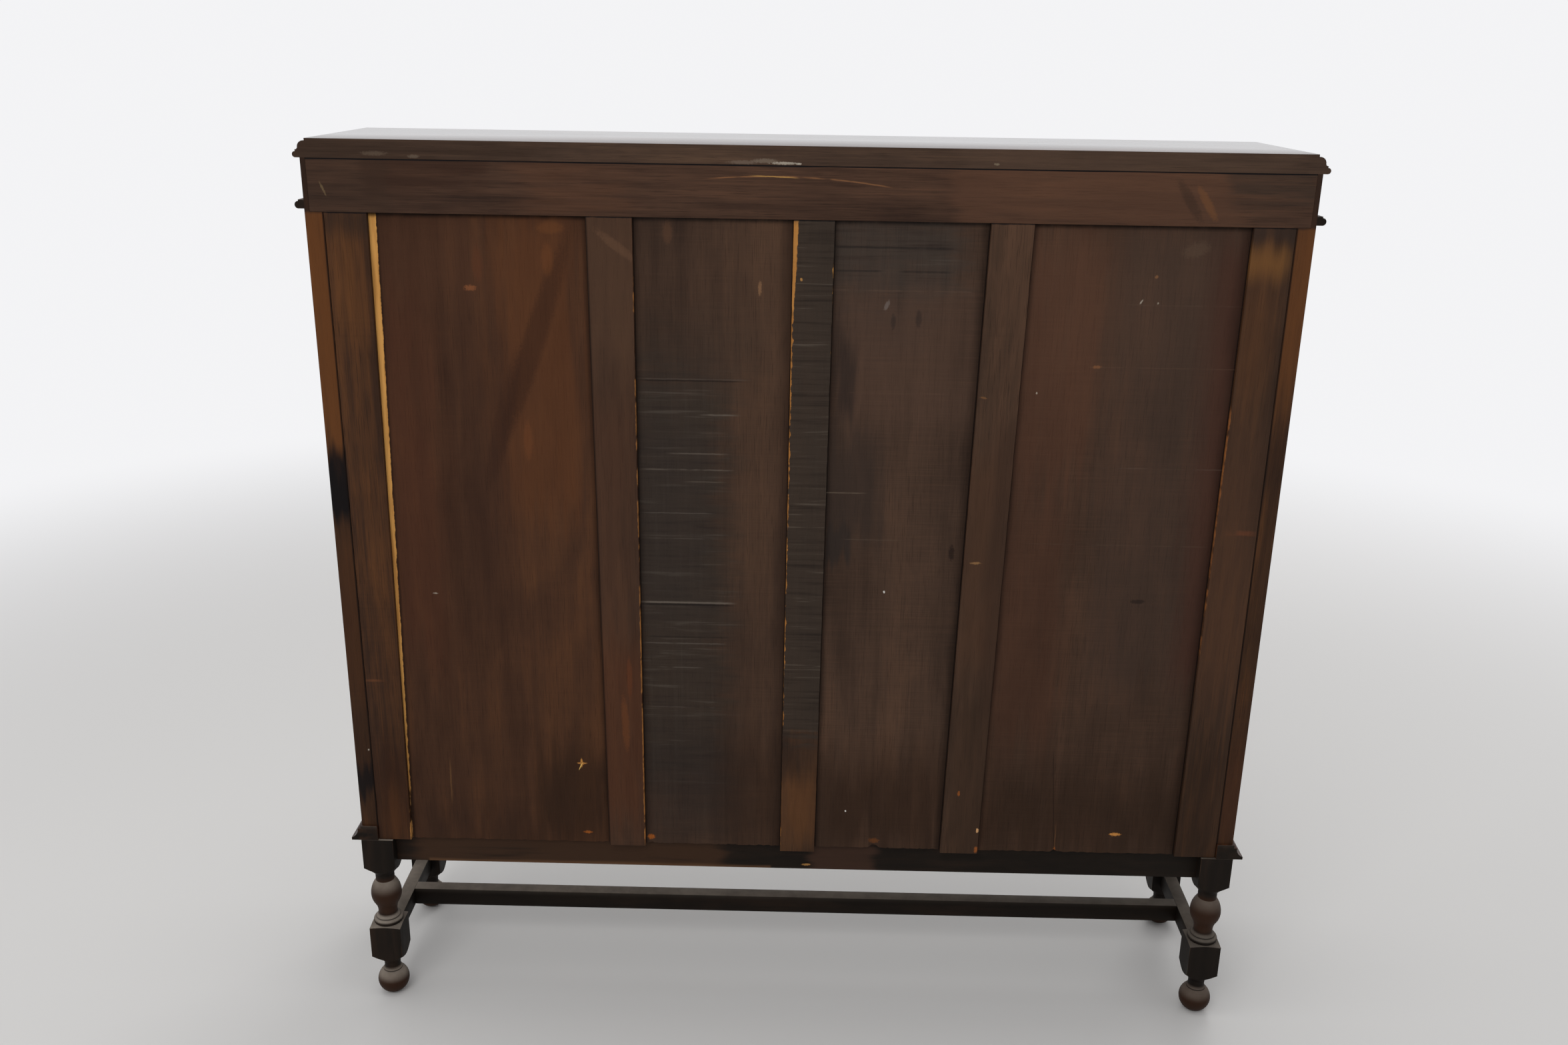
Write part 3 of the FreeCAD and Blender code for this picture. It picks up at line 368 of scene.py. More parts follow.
class Timber:
    """Material of a stained board: grain, pores, saw marks, worn arrises and the marks of use."""

    def __init__(self, stain: Stain, grain: Grain, marks: tuple["Mark", ...] = (), suffix: str = "") -> None:
        """Make the material.

        Args:
            stain: Colours and sheen.
            grain: Axis of the fibres.
            marks: Marks of use, laid on in order.
            suffix: End of the material's name.
        """
        self.stain = stain
        self.grain = grain
        self.material = bpy.data.materials.new(f"{stain.name}_{grain.name.lower()}{suffix}")
        self.shader = Shader(self.material)
        self.shader.place()
        self.colour_grain()
        for mark in marks:
            mark.lay(self)
        self.close()

    def noise(self, across: float, along: float, detail: float = 2.0, rough: float = 0.5,
              warp: float = 0.0, shift: float = 0.0) -> Value:
        """Noise drawn out along the fibres, in a pattern of the stain's own."""
        scale = self.grain.scale(across, along)
        return self.shader.noise(scale, detail, rough, warp, self.stain.seed + shift)

    def colour_grain(self) -> None:
        """Work out the colour, roughness and height of clean wood."""
        stain, shader = self.stain, self.shader
        bands = self.noise(across=8.0, along=0.9, detail=3.0, rough=0.55, warp=0.8)
        clouds = self.noise(across=3.2, along=1.8, detail=3.0, rough=0.6, warp=0.5, shift=1.0)
        mottle = self.noise(across=20.0, along=8.0, detail=4.0, rough=0.62, warp=0.8, shift=11.0)
        streaks = self.noise(across=70.0, along=4.5, detail=3.0, rough=0.55, warp=0.4, shift=3.0)
        fibre = self.noise(across=420.0, along=7.0, detail=3.0, rough=0.6, shift=2.0)
        pores = self.noise(across=900.0, along=26.0, detail=1.0, shift=4.0).rise(0.60, 0.72)
        saw_lines = self.noise(across=3.0, along=210.0, rough=0.6, shift=5.0)
        saw_gate = self.noise(across=4.0, along=9.0, warp=0.4, shift=6.0).rise(0.45, 0.68)
        rings = self.rings()
        tone: Number = 0.5
        for layer, weight in ((bands, 1.25 * stain.bands), (clouds, 0.8 * stain.bands),
                              (mottle, 0.55 * stain.bands), (rings, stain.figure),
                              (streaks, 0.9 * stain.fibre), (fibre, 0.8 * stain.fibre)):
            tone = tone + (layer - 0.5) * weight
        stops = [(0.0, stain.deep), (0.5, stain.mid), (1.0, stain.light)]
        base = shader.node("ValToRGB", {"stops": stops}, {0: tone}).outputs[0]
        base = shader.blend(pores * 0.45, base, stain.deep)
        lines = (saw_lines - 0.5) * saw_gate * stain.saw
        base = shader.blend((lines * 2.4).high(0.0), base, stain.light)
        base = shader.blend((lines * -2.4).high(0.0), base, stain.deep)
        if stain.weave:
            cross = self.noise(across=14.0, along=620.0, shift=7.0)
            base = shader.blend((cross - 0.5).high(0.0) * stain.weave, base, stain.light)
            base = shader.blend((0.5 - cross).high(0.0) * stain.weave, base, stain.deep)
        self.colour = base
        self.rough = stain.roughness + (fibre - 0.5) * 0.22 + (clouds - 0.5) * 0.2
        self.height = fibre * stain.relief - pores * (1.4 * stain.relief) + rings * (0.5 * stain.relief)
        self.height = self.height + lines * (6.0 * stain.relief)
        self.ragged = shader.noise(70.0, detail=3.0, rough=0.65, seed=stain.seed + 9.0)
        self.crumb = shader.noise(330.0, detail=3.0, rough=0.65, seed=stain.seed + 10.0)
        noted = shader.node("Attribute", {"attribute_name": "wear", "attribute_type": "GEOMETRY"})
        worn = Value(shader, noted.outputs["Fac"])
        patchy = shader.noise(28.0, detail=3.0, rough=0.6, seed=stain.seed + 8.0).rise(0.42, 0.66)
        self.cover(worn * patchy * stain.wear, stain.bare, stain.roughness + 0.1)

    def rings(self) -> Value:
        """Year rings of a log that leans a little against the board.

        Returns:
            The rings, between 0 and 1.
        """
        stain, shader = self.stain, self.shader
        turn = [0.0, 0.0, 0.0]
        turn[(self.grain.value + 1) % 3] = math.radians(stain.lean)
        turn[(self.grain.value + 2) % 3] = math.radians(stain.lean * 0.4)
        log = shader.node("Mapping", None, {
            "Vector": shader.where, "Location": stain.heart, "Rotation": turn})
        wave = shader.node(
            "TexWave",
            {"wave_type": "RINGS", "rings_direction": self.grain.name, "wave_profile": "SIN"},
            {"Vector": log.outputs[0], "Scale": stain.ring, "Distortion": 5.0, "Detail": 2.0,
             "Detail Scale": 0.6, "Detail Roughness": 0.5},
        )
        return Value(shader, wave.outputs["Fac"])

    def cover(self, mask: Value, colour: object, rough: Optional[float] = None, raised: float = 0.0) -> None:
        """Lay a colour over the wood.

        Args:
            mask: Where it lies, from 0 to 1.
            colour: Colour or colour socket.
            rough: Roughness there, or None to leave it.
            raised: How far the surface stands up there, in millimetres.
        """
        self.colour = self.shader.blend(mask, self.colour, colour)
        if rough is not None:
            self.rough = self.rough + (rough - self.rough) * mask
        if raised:
            self.height = self.height + mask * raised

    def close(self) -> None:
        """Join the colour, roughness and height to the surface shader."""
        stain, shader = self.stain, self.shader
        relief = shader.node("Bump", None, {"Strength": 1.0, "Distance": 0.001, "Height": self.height})
        surface = shader.node("BsdfPrincipled", None, {
            "Base Color": self.colour, "Roughness": self.rough.high(0.05).low(1.0),
            "Normal": relief.outputs[0], "Specular IOR Level": stain.specular, "Coat Weight": stain.coat,
            "Coat Roughness": stain.coat_roughness})
        shader.node("OutputMaterial", None, {0: surface.outputs[0]})


class Mark:
    """A mark of use that is laid on a board's material."""

    def lay(self, timber: Timber) -> None:
        """Change the timber's colour, roughness or height."""
        raise NotImplementedError


@dataclass(frozen=True)
class Patch(Mark):
    """Soft patch of another stain, with ragged edges drawn out along the fibres."""

    x: Pair
    z: Pair
    colour: Colour
    strength: float = 0.7
    soft: float = 0.03
    ragged: float = 0.06

    def lay(self, timber: Timber) -> None:
        """Lay the patch on.

        Args:
            timber: Material of the board.
        """
        shader = timber.shader
        drift = timber.noise(across=60.0, along=5.0, rough=0.6, shift=self.x[0] * 31 + self.z[0] * 17)
        sway = (drift - 0.5) * self.ragged
        across = (shader.x + sway).window(self.x[0], self.x[1], self.soft * 0.5)
        upright = (shader.z + sway * 2.0).window(self.z[0], self.z[1], self.soft)
        mask = across * upright * (0.55 + drift * 0.9).low(1.0) * self.strength
        timber.cover(mask, self.colour)


@dataclass(frozen=True)
class Spot(Mark):
    """Small nick, dent or chip with an uneven outline."""

    x: float
    z: float
    wide: float
    tall: float
    colour: Colour
    strength: float = 0.9
    slope: float = 0.0
    raised: float = -0.3
    crumble: float = 2.4

    def lay(self, timber: Timber) -> None:
        """Lay the spot on.

        Args:
            timber: Material of the board.
        """
        shader = timber.shader
        up = shader.z - self.z
        side = shader.x - self.x - up * self.slope
        far = (side / self.wide) * (side / self.wide) + (up / self.tall) * (up / self.tall)
        mask = (far + (timber.crumb - 0.5) * self.crumble).rise(1.15, 0.2) * self.strength
        timber.cover(mask, self.colour, 0.8, self.raised)


@dataclass(frozen=True)
class Fleck(Spot):
    """Spot of stain, dust or rubbed wood that lies level with the board."""

    raised: float = 0.0


@dataclass(frozen=True)
class Hairline(Mark):
    """Thin level line that comes and goes along its length, and may bow or tilt a little."""

    x: Pair
    z: float
    colour: Colour
    width: float = 0.0012
    strength: float = 0.8
    gaps: float = 0.5
    bow: float = 0.0
    tilt: float = 0.0

    def lay(self, timber: Timber) -> None:
        """Lay the line on.

        Args:
            timber: Material of the board.
        """
        shader = timber.shader
        side = shader.x - (self.x[0] + self.x[1]) / 2
        line = shader.z - self.z + side * side * self.bow - side * self.tilt
        off = abs(line + (timber.ragged - 0.5) * 0.0015)
        broken = shader.noise(24.0, rough=0.6, seed=self.z * 11).rise(self.gaps - 0.1, self.gaps + 0.1)
        run = shader.x.window(self.x[0], self.x[1], 0.012)
        mask = off.rise(self.width, self.width * 0.3) * broken * run * self.strength
        timber.cover(mask, self.colour, 0.7, -0.15)


@dataclass(frozen=True)
class Split(Mark):
    """Thin upright crack or scratch between two points."""

    foot: Pair
    top: Pair
    colour: Colour
    width: float = 0.0010
    strength: float = 0.85
    raised: float = -0.5

    def lay(self, timber: Timber) -> None:
        """Lay the crack on.

        Args:
            timber: Material of the board.
        """
        shader = timber.shader
        off = abs(shader.beside(self.foot, self.top) + (timber.ragged - 0.5) * 0.002)
        run = shader.z.window(self.foot[1], self.top[1], 0.015)
        mask = off.rise(self.width, self.width * 0.25) * run * self.strength
        timber.cover(mask, self.colour, 0.8, self.raised)


@dataclass(frozen=True)
class RawEdge(Mark):
    """Stripe of bare wood along a board's edge, wide at the top and ragged towards the foot."""

    top: Pair
    foot: Pair
    side: Side
    wide_top: float
    wide_foot: float
    colour: Colour
    ragged: float = 0.004
    gaps: float = 0.0
    fade: float = 0.0

    def lay(self, timber: Timber) -> None:
        """Lay the stripe on.

        Args:
            timber: Material of the board.
        """
        shader = timber.shader
        inward = shader.beside(self.foot, self.top) * self.side.value
        share = (shader.z - self.foot[1]) / (self.top[1] - self.foot[1])
        width = self.wide_foot + share * (self.wide_top - self.wide_foot)
        torn = shader.noise((40.0, 40.0, 90.0), detail=3.0, rough=0.6, seed=self.top[0] * 23)
        width = width + (torn - 0.5) * (2.0 * self.ragged)
        mask = (width - inward).rise(0.0, 0.0012) * shader.z.window(self.foot[1], self.top[1], 0.01)
        if self.gaps:
            there = shader.noise((9.0, 9.0, 26.0), detail=3.0, rough=0.6, seed=self.top[0] * 41)
            there = there + (share - 0.5) * self.fade
            mask = mask * there.rise(self.gaps - 0.04, self.gaps + 0.04)
        streak = timber.noise(across=300.0, along=14.0, shift=12.0)
        wood = shader.blend(streak.rise(0.35, 0.8) * 0.6, self.colour, tint(150, 96, 46))
        timber.cover(mask, wood, 0.75, 0.1)


@dataclass(frozen=True)
class EdgeShade(Mark):
    """Painted shade along the edge of a strip that lies on a panel: a soft dark band beside it and a thin
    dark line at the edge.
    """

    top: Pair
    foot: Pair
    side: Side
    width: float = 0.010
    strength: float = 0.75

    def lay(self, timber: Timber) -> None:
        """Lay the painted shade on.

        Args:
            timber: Material of the board.
        """
        shader = timber.shader
        inward = shader.beside(self.foot, self.top) * self.side.value
        spread = shader.noise((30.0, 30.0, 9.0), detail=3.0, rough=0.6, seed=self.top[0] * 19)
        # Painted shade: a soft band that fades away from the edge, and a thin line right at it.
        near = (inward - (spread - 0.5) * self.width).rise(self.width, 0.0)
        line = inward.rise(0.0028, 0.0010)
        timber.cover((near * 0.55).high(line) * self.strength, PAINTED_SHADE, 0.8)


@dataclass(frozen=True)
class Weathered(Mark):
    """Grey-black skin torn across the grain into level ridges; the pale crests are painted highlight and the
    dark hollows painted shade.
    """

    x: Pair
    z: Pair
    strength: float = 0.9
    soft: float = 0.02
    ridge: float = 0.35
    pitch: float = 120.0
    skin: Colour = tint(51, 44, 38)
    crest_highlight: Colour = tint(88, 81, 73)
    crests: float = 0.45
    hollow_shade: Colour = tint(34, 29, 28)
    weave: float = 0.45

    def lay(self, timber: Timber) -> None:
        """Lay the weathered skin on.

        Args:
            timber: Material of the board.
        """
        shader = timber.shader
        seed = self.x[0] * 37 + self.z[0] * 11
        edge = shader.noise((14.0, 14.0, 60.0), detail=3.0, rough=0.65, seed=seed)
        sway = (edge - 0.5) * 0.09
        across = (shader.x + sway).window(self.x[0], self.x[1], self.soft)
        upright = (shader.z + sway * 1.3).window(self.z[0], self.z[1], self.soft * 1.5)
        mask = across * upright * self.strength
        ridges = shader.noise((7.0, 7.0, self.pitch), detail=3.0, rough=0.6, warp=0.3, seed=seed + 1)
        fine = shader.noise((9.0, 9.0, self.pitch * 3.2), seed=seed + 2)
        weave = shader.noise((150.0, 150.0, 7.0), detail=3.0, rough=0.6, seed=seed + 3)
        wave = ridges * 0.7 + fine * 0.3
        # Painted shade in the hollows and painted highlight on the crests, from the same wave that raises the
        # ridges.
        shade = shader.blend(wave.rise(0.52, 0.30) * 0.8, self.skin, self.hollow_shade)
        shade = shader.blend(wave.rise(0.57, 0.68) * self.crests, shade, self.crest_highlight)
        shade = shader.blend((weave - 0.52).high(0.0) * self.weave, shade, self.crest_highlight)
        timber.cover(mask, shade, 0.62)
        timber.height = timber.height + mask * wave * (2.0 * self.ridge)


@dataclass(frozen=True)
class DustAndSheen(Mark):
    """Pale grey of dust and painted sheen on the faces that look up, thicker towards the right end of the
    stand.
    """

    strength: float = 0.85
    thin_end: float = 0.5
    level: float = 0.06
    steep: float = 0.70
    colour: Colour = tint(152, 141, 129)

    def lay(self, timber: Timber) -> None:
        """Lay the dust and the painted sheen on.

        Args:
            timber: Material of the board.
        """
        shader = timber.shader
        facing = shader.node("SeparateXYZ", None, {0: shader.node("NewGeometry").outputs["Normal"]})
        # Dust and painted sheen: the more a face looks up, the paler it is laid.
        up = Value(shader, facing.outputs[2]).rise(self.level, self.steep)
        blown = shader.noise(22.0, detail=4.0, rough=0.65, seed=14.0).rise(0.25, 0.75)
        thick = self.thin_end + shader.x.rise(-0.5, 0.5) * (1.0 - self.thin_end)
        timber.cover(up * (0.6 + blown * 0.4) * thick * self.strength, self.colour, 0.7)


@dataclass(frozen=True)
class Metal:
    """Old metal: a ground colour, tarnish that gathers in clouds, and fine rubbing."""

    name: str
    ground: Colour
    tarnish: Colour
    roughness: float

    def material(self) -> bpy.types.Material:
        """Make the material.

        Returns:
            The material.
        """
        made = bpy.data.materials.new(self.name)
        shader = Shader(made)
        shader.place()
        clouds = shader.noise(90.0, detail=4.0, rough=0.6, warp=0.6)
        rub = shader.noise((900.0, 900.0, 120.0), seed=2.0)
        dark = clouds.rise(0.42, 0.68)
        colour = shader.blend(dark * 0.85, self.ground, self.tarnish)
        rough = self.roughness + dark * 0.25 + (rub - 0.5) * 0.18
        relief = shader.node("Bump", None, {"Distance": 0.0001, "Height": rub * 0.6 + dark * 0.5})
        surface = shader.node("BsdfPrincipled", None, {
            "Base Color": colour, "Roughness": rough, "Metallic": 1.0, "Normal": relief.outputs[0]})
        shader.node("OutputMaterial", None, {0: surface.outputs[0]})
        return made


@dataclass(frozen=True)
class SheetGlass:
    """Old drawn sheet glass: clear, faintly green and slightly uneven."""

    name: str = "sheet_glass"
    colour: Colour = (0.93, 0.97, 0.95, 1.0)

    def material(self) -> bpy.types.Material:
        """Make the material.

        Returns:
            The material.
        """
        made = bpy.data.materials.new(self.name)
        shader = Shader(made)
        shader.place()
        drawn = shader.noise((7.0, 7.0, 2.5), detail=1.0, rough=0.4, warp=0.3)
        relief = shader.node("Bump", None, {"Distance": 0.0004, "Height": drawn})
        pane = shader.node("BsdfPrincipled", None, {
            "Base Color": self.colour, "Roughness": 0.0, "Normal": relief.outputs[0],
            "Transmission Weight": 1.0, "IOR": 1.45})
        clear = shader.node("BsdfTransparent", None, {"Color": self.colour})
        shade = shader.node("LightPath").outputs["Is Shadow Ray"]
        surface = shader.node("MixShader", None, {0: shade, 1: pane.outputs[0], 2: clear.outputs[0]})
        shader.node("OutputMaterial", None, {0: surface.outputs[0]})
        return made


RAIL = Stain("rail_stain", tint(42, 29, 23), tint(73, 52, 40), tint(98, 68, 50),
             fibre=0.8, figure=0.1, saw=0.06, bands=0.8)
BACK_EDGE = Stain("sawn_edge_stain", tint(42, 32, 26), tint(67, 51, 41), tint(92, 70, 54),
                  fibre=0.8, figure=0.05, saw=0.05, seed=6.0)
POST = Stain("post_stain", tint(40, 25, 18), tint(62, 41, 27), tint(92, 58, 33), fibre=0.7, figure=0.1)
TOP = Stain("polished_stain", tint(34, 20, 15), tint(62, 37, 28), tint(86, 52, 36), roughness=0.24,
            specular=0.4, coat=0.9, coat_roughness=0.06, saw=0.02, relief=0.01, wear=0.35)
FRONT = Stain("front_stain", tint(30, 18, 13), tint(56, 33, 21), tint(88, 52, 30), roughness=0.42,
              specular=0.25, coat=0.12, figure=0.24, saw=0.03, relief=0.06, wear=0.40)
INSIDE = Stain("inside_stain", tint(46, 31, 22), tint(74, 49, 33), tint(100, 68, 45), roughness=0.6,
               specular=0.14, wear=0.4)
STAND = Stain("stand_stain", tint(18, 14, 11), tint(28, 22, 17), tint(46, 33, 25), bare=tint(78, 58, 44),
              roughness=0.58, specular=0.10, figure=0.1, saw=0.03, relief=0.05)
BRASS = Metal("aged_brass", tint(172, 132, 66), tint(74, 52, 28), 0.32)
STEEL = Metal("dark_steel", tint(112, 108, 104), tint(52, 44, 38), 0.36)


# Bench work on meshes


class Bench:
    """Operators that are used as by hand on one piece at a time."""

    sharp_angle: float = math.radians(38.0)
    shortest_arris: float = 0.004
    arris_facets: int = 2
    narrow_share: float = 0.7
    along_share: float = 0.9
    merge_distance: float = 0.000002
    flat_angle: float = math.radians(0.4)
    places_per_metre: float = 1e6

    @staticmethod
    def take(piece: bpy.types.Object) -> None:
        """Leave one piece selected and active, in object mode.

        Args:
            piece: Piece to take.
        """
        if bpy.context.object is not None and bpy.context.object.mode != "OBJECT":
            bpy.ops.object.mode_set(mode="OBJECT")
        bpy.ops.object.select_all(action="DESELECT")
        piece.select_set(True)
        bpy.context.view_layer.objects.active = piece

    @staticmethod
    def board(name: str, low: Vector, high: Vector) -> bpy.types.Object:
        """Add a board between two corners.

        Args:
            name: Name of the piece.
            low: Lowest corner.
            high: Highest corner.

        Returns:
            The board, with its place in its mesh.
        """
        bpy.ops.object.select_all(action="DESELECT")
        bpy.ops.mesh.primitive_cube_add(size=1.0, location=(low + high) / 2)
        piece = bpy.context.object
        piece.name = name
        piece.data.name = name
        piece.scale = high - low
        bpy.ops.object.transform_apply(location=True, rotation=True, scale=True)
        return piece

    @staticmethod
    def unpick(piece: bpy.types.Object, pick: Pick) -> None:
        """Take a piece and leave nothing picked on it.

        Args:
            piece: Piece to work on.
            pick: What is to be picked on it next.
        """
        Bench.take(piece)
        bpy.context.tool_settings.mesh_select_mode = pick.value
        bpy.ops.object.mode_set(mode="EDIT")
        bpy.ops.mesh.select_all(action="DESELECT")
        bpy.ops.object.mode_set(mode="OBJECT")

    @staticmethod
    def pick_edges(piece: bpy.types.Object, test: Callable[[Vector, Vector], bool]) -> None:
        """Enter edit mode with some edges picked.

        Args:
            piece: Piece to work on.
            test: Says of the two ends of an edge whether it is picked.
        """
        Bench.unpick(piece, Pick.EDGES)
        points = [vertex.co.copy() for vertex in piece.data.vertices]
        for edge in piece.data.edges:
            edge.select = test(points[edge.vertices[0]], points[edge.vertices[1]])
        bpy.ops.object.mode_set(mode="EDIT")

    @staticmethod
    def divide(piece: bpy.types.Object, axis: Grain, cuts: int) -> None:
        """Cut a board across one axis into even lengths.

        Args:
            piece: Board.
            axis: Axis that the lengths follow each other along.
            cuts: Number of cuts.
        """
        Bench.pick_edges(piece, lambda a, b: abs((b - a).normalized()[axis.value]) > Bench.along_share)
        bpy.ops.mesh.subdivide(number_cuts=cuts)
        bpy.ops.object.mode_set(mode="OBJECT")

    @staticmethod
    def ease_arrises(piece: bpy.types.Object, width: float) -> None:
        """Round every sharp outer edge and note the narrow faces as places of wear.

        Args:
            piece: Piece to work on.
            width: Width of the rounding.
        """
        Bench.unpick(piece, Pick.EDGES)
        bpy.ops.object.mode_set(mode="EDIT")
        work = bmesh.from_edit_mesh(piece.data)
        for edge in work.edges:
            sharp = len(edge.link_faces) == 2 and edge.calc_face_angle_signed(0.0) > Bench.sharp_angle
            edge.select_set(sharp and edge.calc_length() > Bench.shortest_arris)
        bmesh.update_edit_mesh(piece.data)
        bpy.ops.mesh.bevel(offset=width, segments=Bench.arris_facets, profile=0.5, clamp_overlap=True)
        bpy.ops.object.mode_set(mode="OBJECT")
        Bench.note_wear(piece, width)
        Bench.smooth(piece)

    @staticmethod
    def note_wear(piece: bpy.types.Object, width: float) -> None:
        """Note the narrow faces of a piece as places of wear.

        Args:
            piece: Piece to work on.
            width: Width of the rounding that the faces belong to.
        """
        mesh = piece.data
        points = [vertex.co for vertex in mesh.vertices]
        worn = []
        for face in mesh.polygons:
            longest = max((points[a] - points[b]).length for a, b in face.edge_keys)
            worn.append(1.0 if face.area < Bench.narrow_share * width * longest else 0.0)
        wear = mesh.attributes.get("wear") or mesh.attributes.new("wear", "FLOAT", "FACE")
        wear.data.foreach_set("value", worn)

    @staticmethod
    def smooth(piece: bpy.types.Object, angle: float = 30.0) -> None:
        """Shade smooth, with edges sharper than an angle in degrees kept."""
        Bench.take(piece)
        bpy.ops.object.shade_smooth_by_angle(angle=math.radians(angle))

    @staticmethod
    def copy_of(node: str, name: str) -> bpy.types.Object:
        """Copy of a CAD node, still as the loose triangles that it is drawn with.

        Args:
            node: Name of the CAD node.
            name: Name of the new piece.

        Returns:
            The copy, free of the node.
        """
        Bench.take(frame["nodes"][node])
        bpy.ops.object.duplicate()
        piece = bpy.context.object
        piece.name = name
        piece.data.name = name
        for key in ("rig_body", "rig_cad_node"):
            if key in piece:
                del piece[key]
        piece.parent = None
        piece.data.materials.clear()
        return piece

    @staticmethod
    def number_solids(mesh: bpy.types.Mesh) -> list[int]:
        """Number the solids in the loose triangles of a CAD node.

        Two triangles belong together where one of them alone can follow the other across an edge. In a
        tight joint the edges of two solids lie in one place, so such an edge tells nothing. A triangle
        that covers another is left out.

        Args:
            mesh: Mesh of the node.

        Returns:
            The number of its solid for each face.
        """
        corners = [tuple(round(c * Bench.places_per_metre) for c in vertex.co) for vertex in mesh.vertices]
        rings = [[corners[index] for index in face.vertices] for face in mesh.polygons]
        owners: dict[tuple, list[int]] = {}
        for number, ring in enumerate(rings):
            for pair in zip(ring, ring[1:] + ring[:1]):
                owners.setdefault(pair, []).append(number)
        leader = list(range(len(rings)))

        def lead(number: int) -> int:
            """First face that a face is known to belong with.

            Args:
                number: Number of the face.

            Returns:
                Number of that first face.
            """
            while leader[number] != number:
                number = leader[number]
            return number

        for number, ring in enumerate(rings):
            for start, end in zip(ring, ring[1:] + ring[:1]):
                across = [other for other in owners.get((end, start), []) if set(rings[other]) != set(ring)]
                if len(across) == 1:
                    first, second = sorted((lead(number), lead(across[0])))
                    leader[second] = first
        firsts = sorted({lead(number) for number in leader})
        return [firsts.index(lead(number)) for number in range(len(rings))]

    @staticmethod
    def part(piece: bpy.types.Object) -> list[bpy.types.Object]:
        """Part a copy of a CAD node into its solids, each merged and with whole flat faces.

        Args:
            piece: The copy.

        Returns:
            One object for each solid.
        """
        numbers = Bench.number_solids(piece.data)
        piece.data.attributes.new("solid", "INT", "FACE").data.foreach_set("value", numbers)
        lengths = [piece]
        for number in range(1, max(numbers) + 1):
            Bench.unpick(piece, Pick.FACES)
            for face, solid in zip(piece.data.polygons, piece.data.attributes["solid"].data):
                face.select = solid.value == number
            bpy.ops.object.mode_set(mode="EDIT")
            bpy.ops.mesh.separate(type="SELECTED")
            bpy.ops.object.mode_set(mode="OBJECT")
            lengths += [length for length in bpy.context.selected_objects if length not in lengths]
        for length in lengths:
            Bench.take(length)
            length.data.attributes.remove(length.data.attributes["solid"])
            bpy.ops.object.mode_set(mode="EDIT")
            bpy.ops.mesh.select_all(action="SELECT")
            bpy.ops.mesh.customdata_custom_splitnormals_clear()
            bpy.ops.mesh.remove_doubles(threshold=Bench.merge_distance)
            bpy.ops.mesh.dissolve_limited(angle_limit=Bench.flat_angle)
            bpy.ops.object.mode_set(mode="OBJECT")
        return lengths


SLOTS: dict[str, str] = {part["node"]: part["material_slot"] for part in frame["record"]["subparts"]}
BODY_OF: dict[str, str] = {node: body for body, nodes in frame["record"]["behaviour"]["bodies"].items()
                           for node in nodes}


def seat(piece: bpy.types.Object, node: str) -> bpy.types.Object:
    """Let a piece stand for a CAD node: same body, and the node hidden.

    Args:
        piece: Finished piece.
        node: CAD node that it stands for.

    Returns:
        The piece.
    """
    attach(piece, BODY_OF[node])
    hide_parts(node)
    return piece


# Sub-assemblies


@dataclass(frozen=True)
class Dressing:
    """Stain of one board of the back, its marks of use and how torn its edges at low and high x are."""

    stain: Stain
    marks: tuple[Mark, ...]
    torn: Pair = (0.0, 0.0)


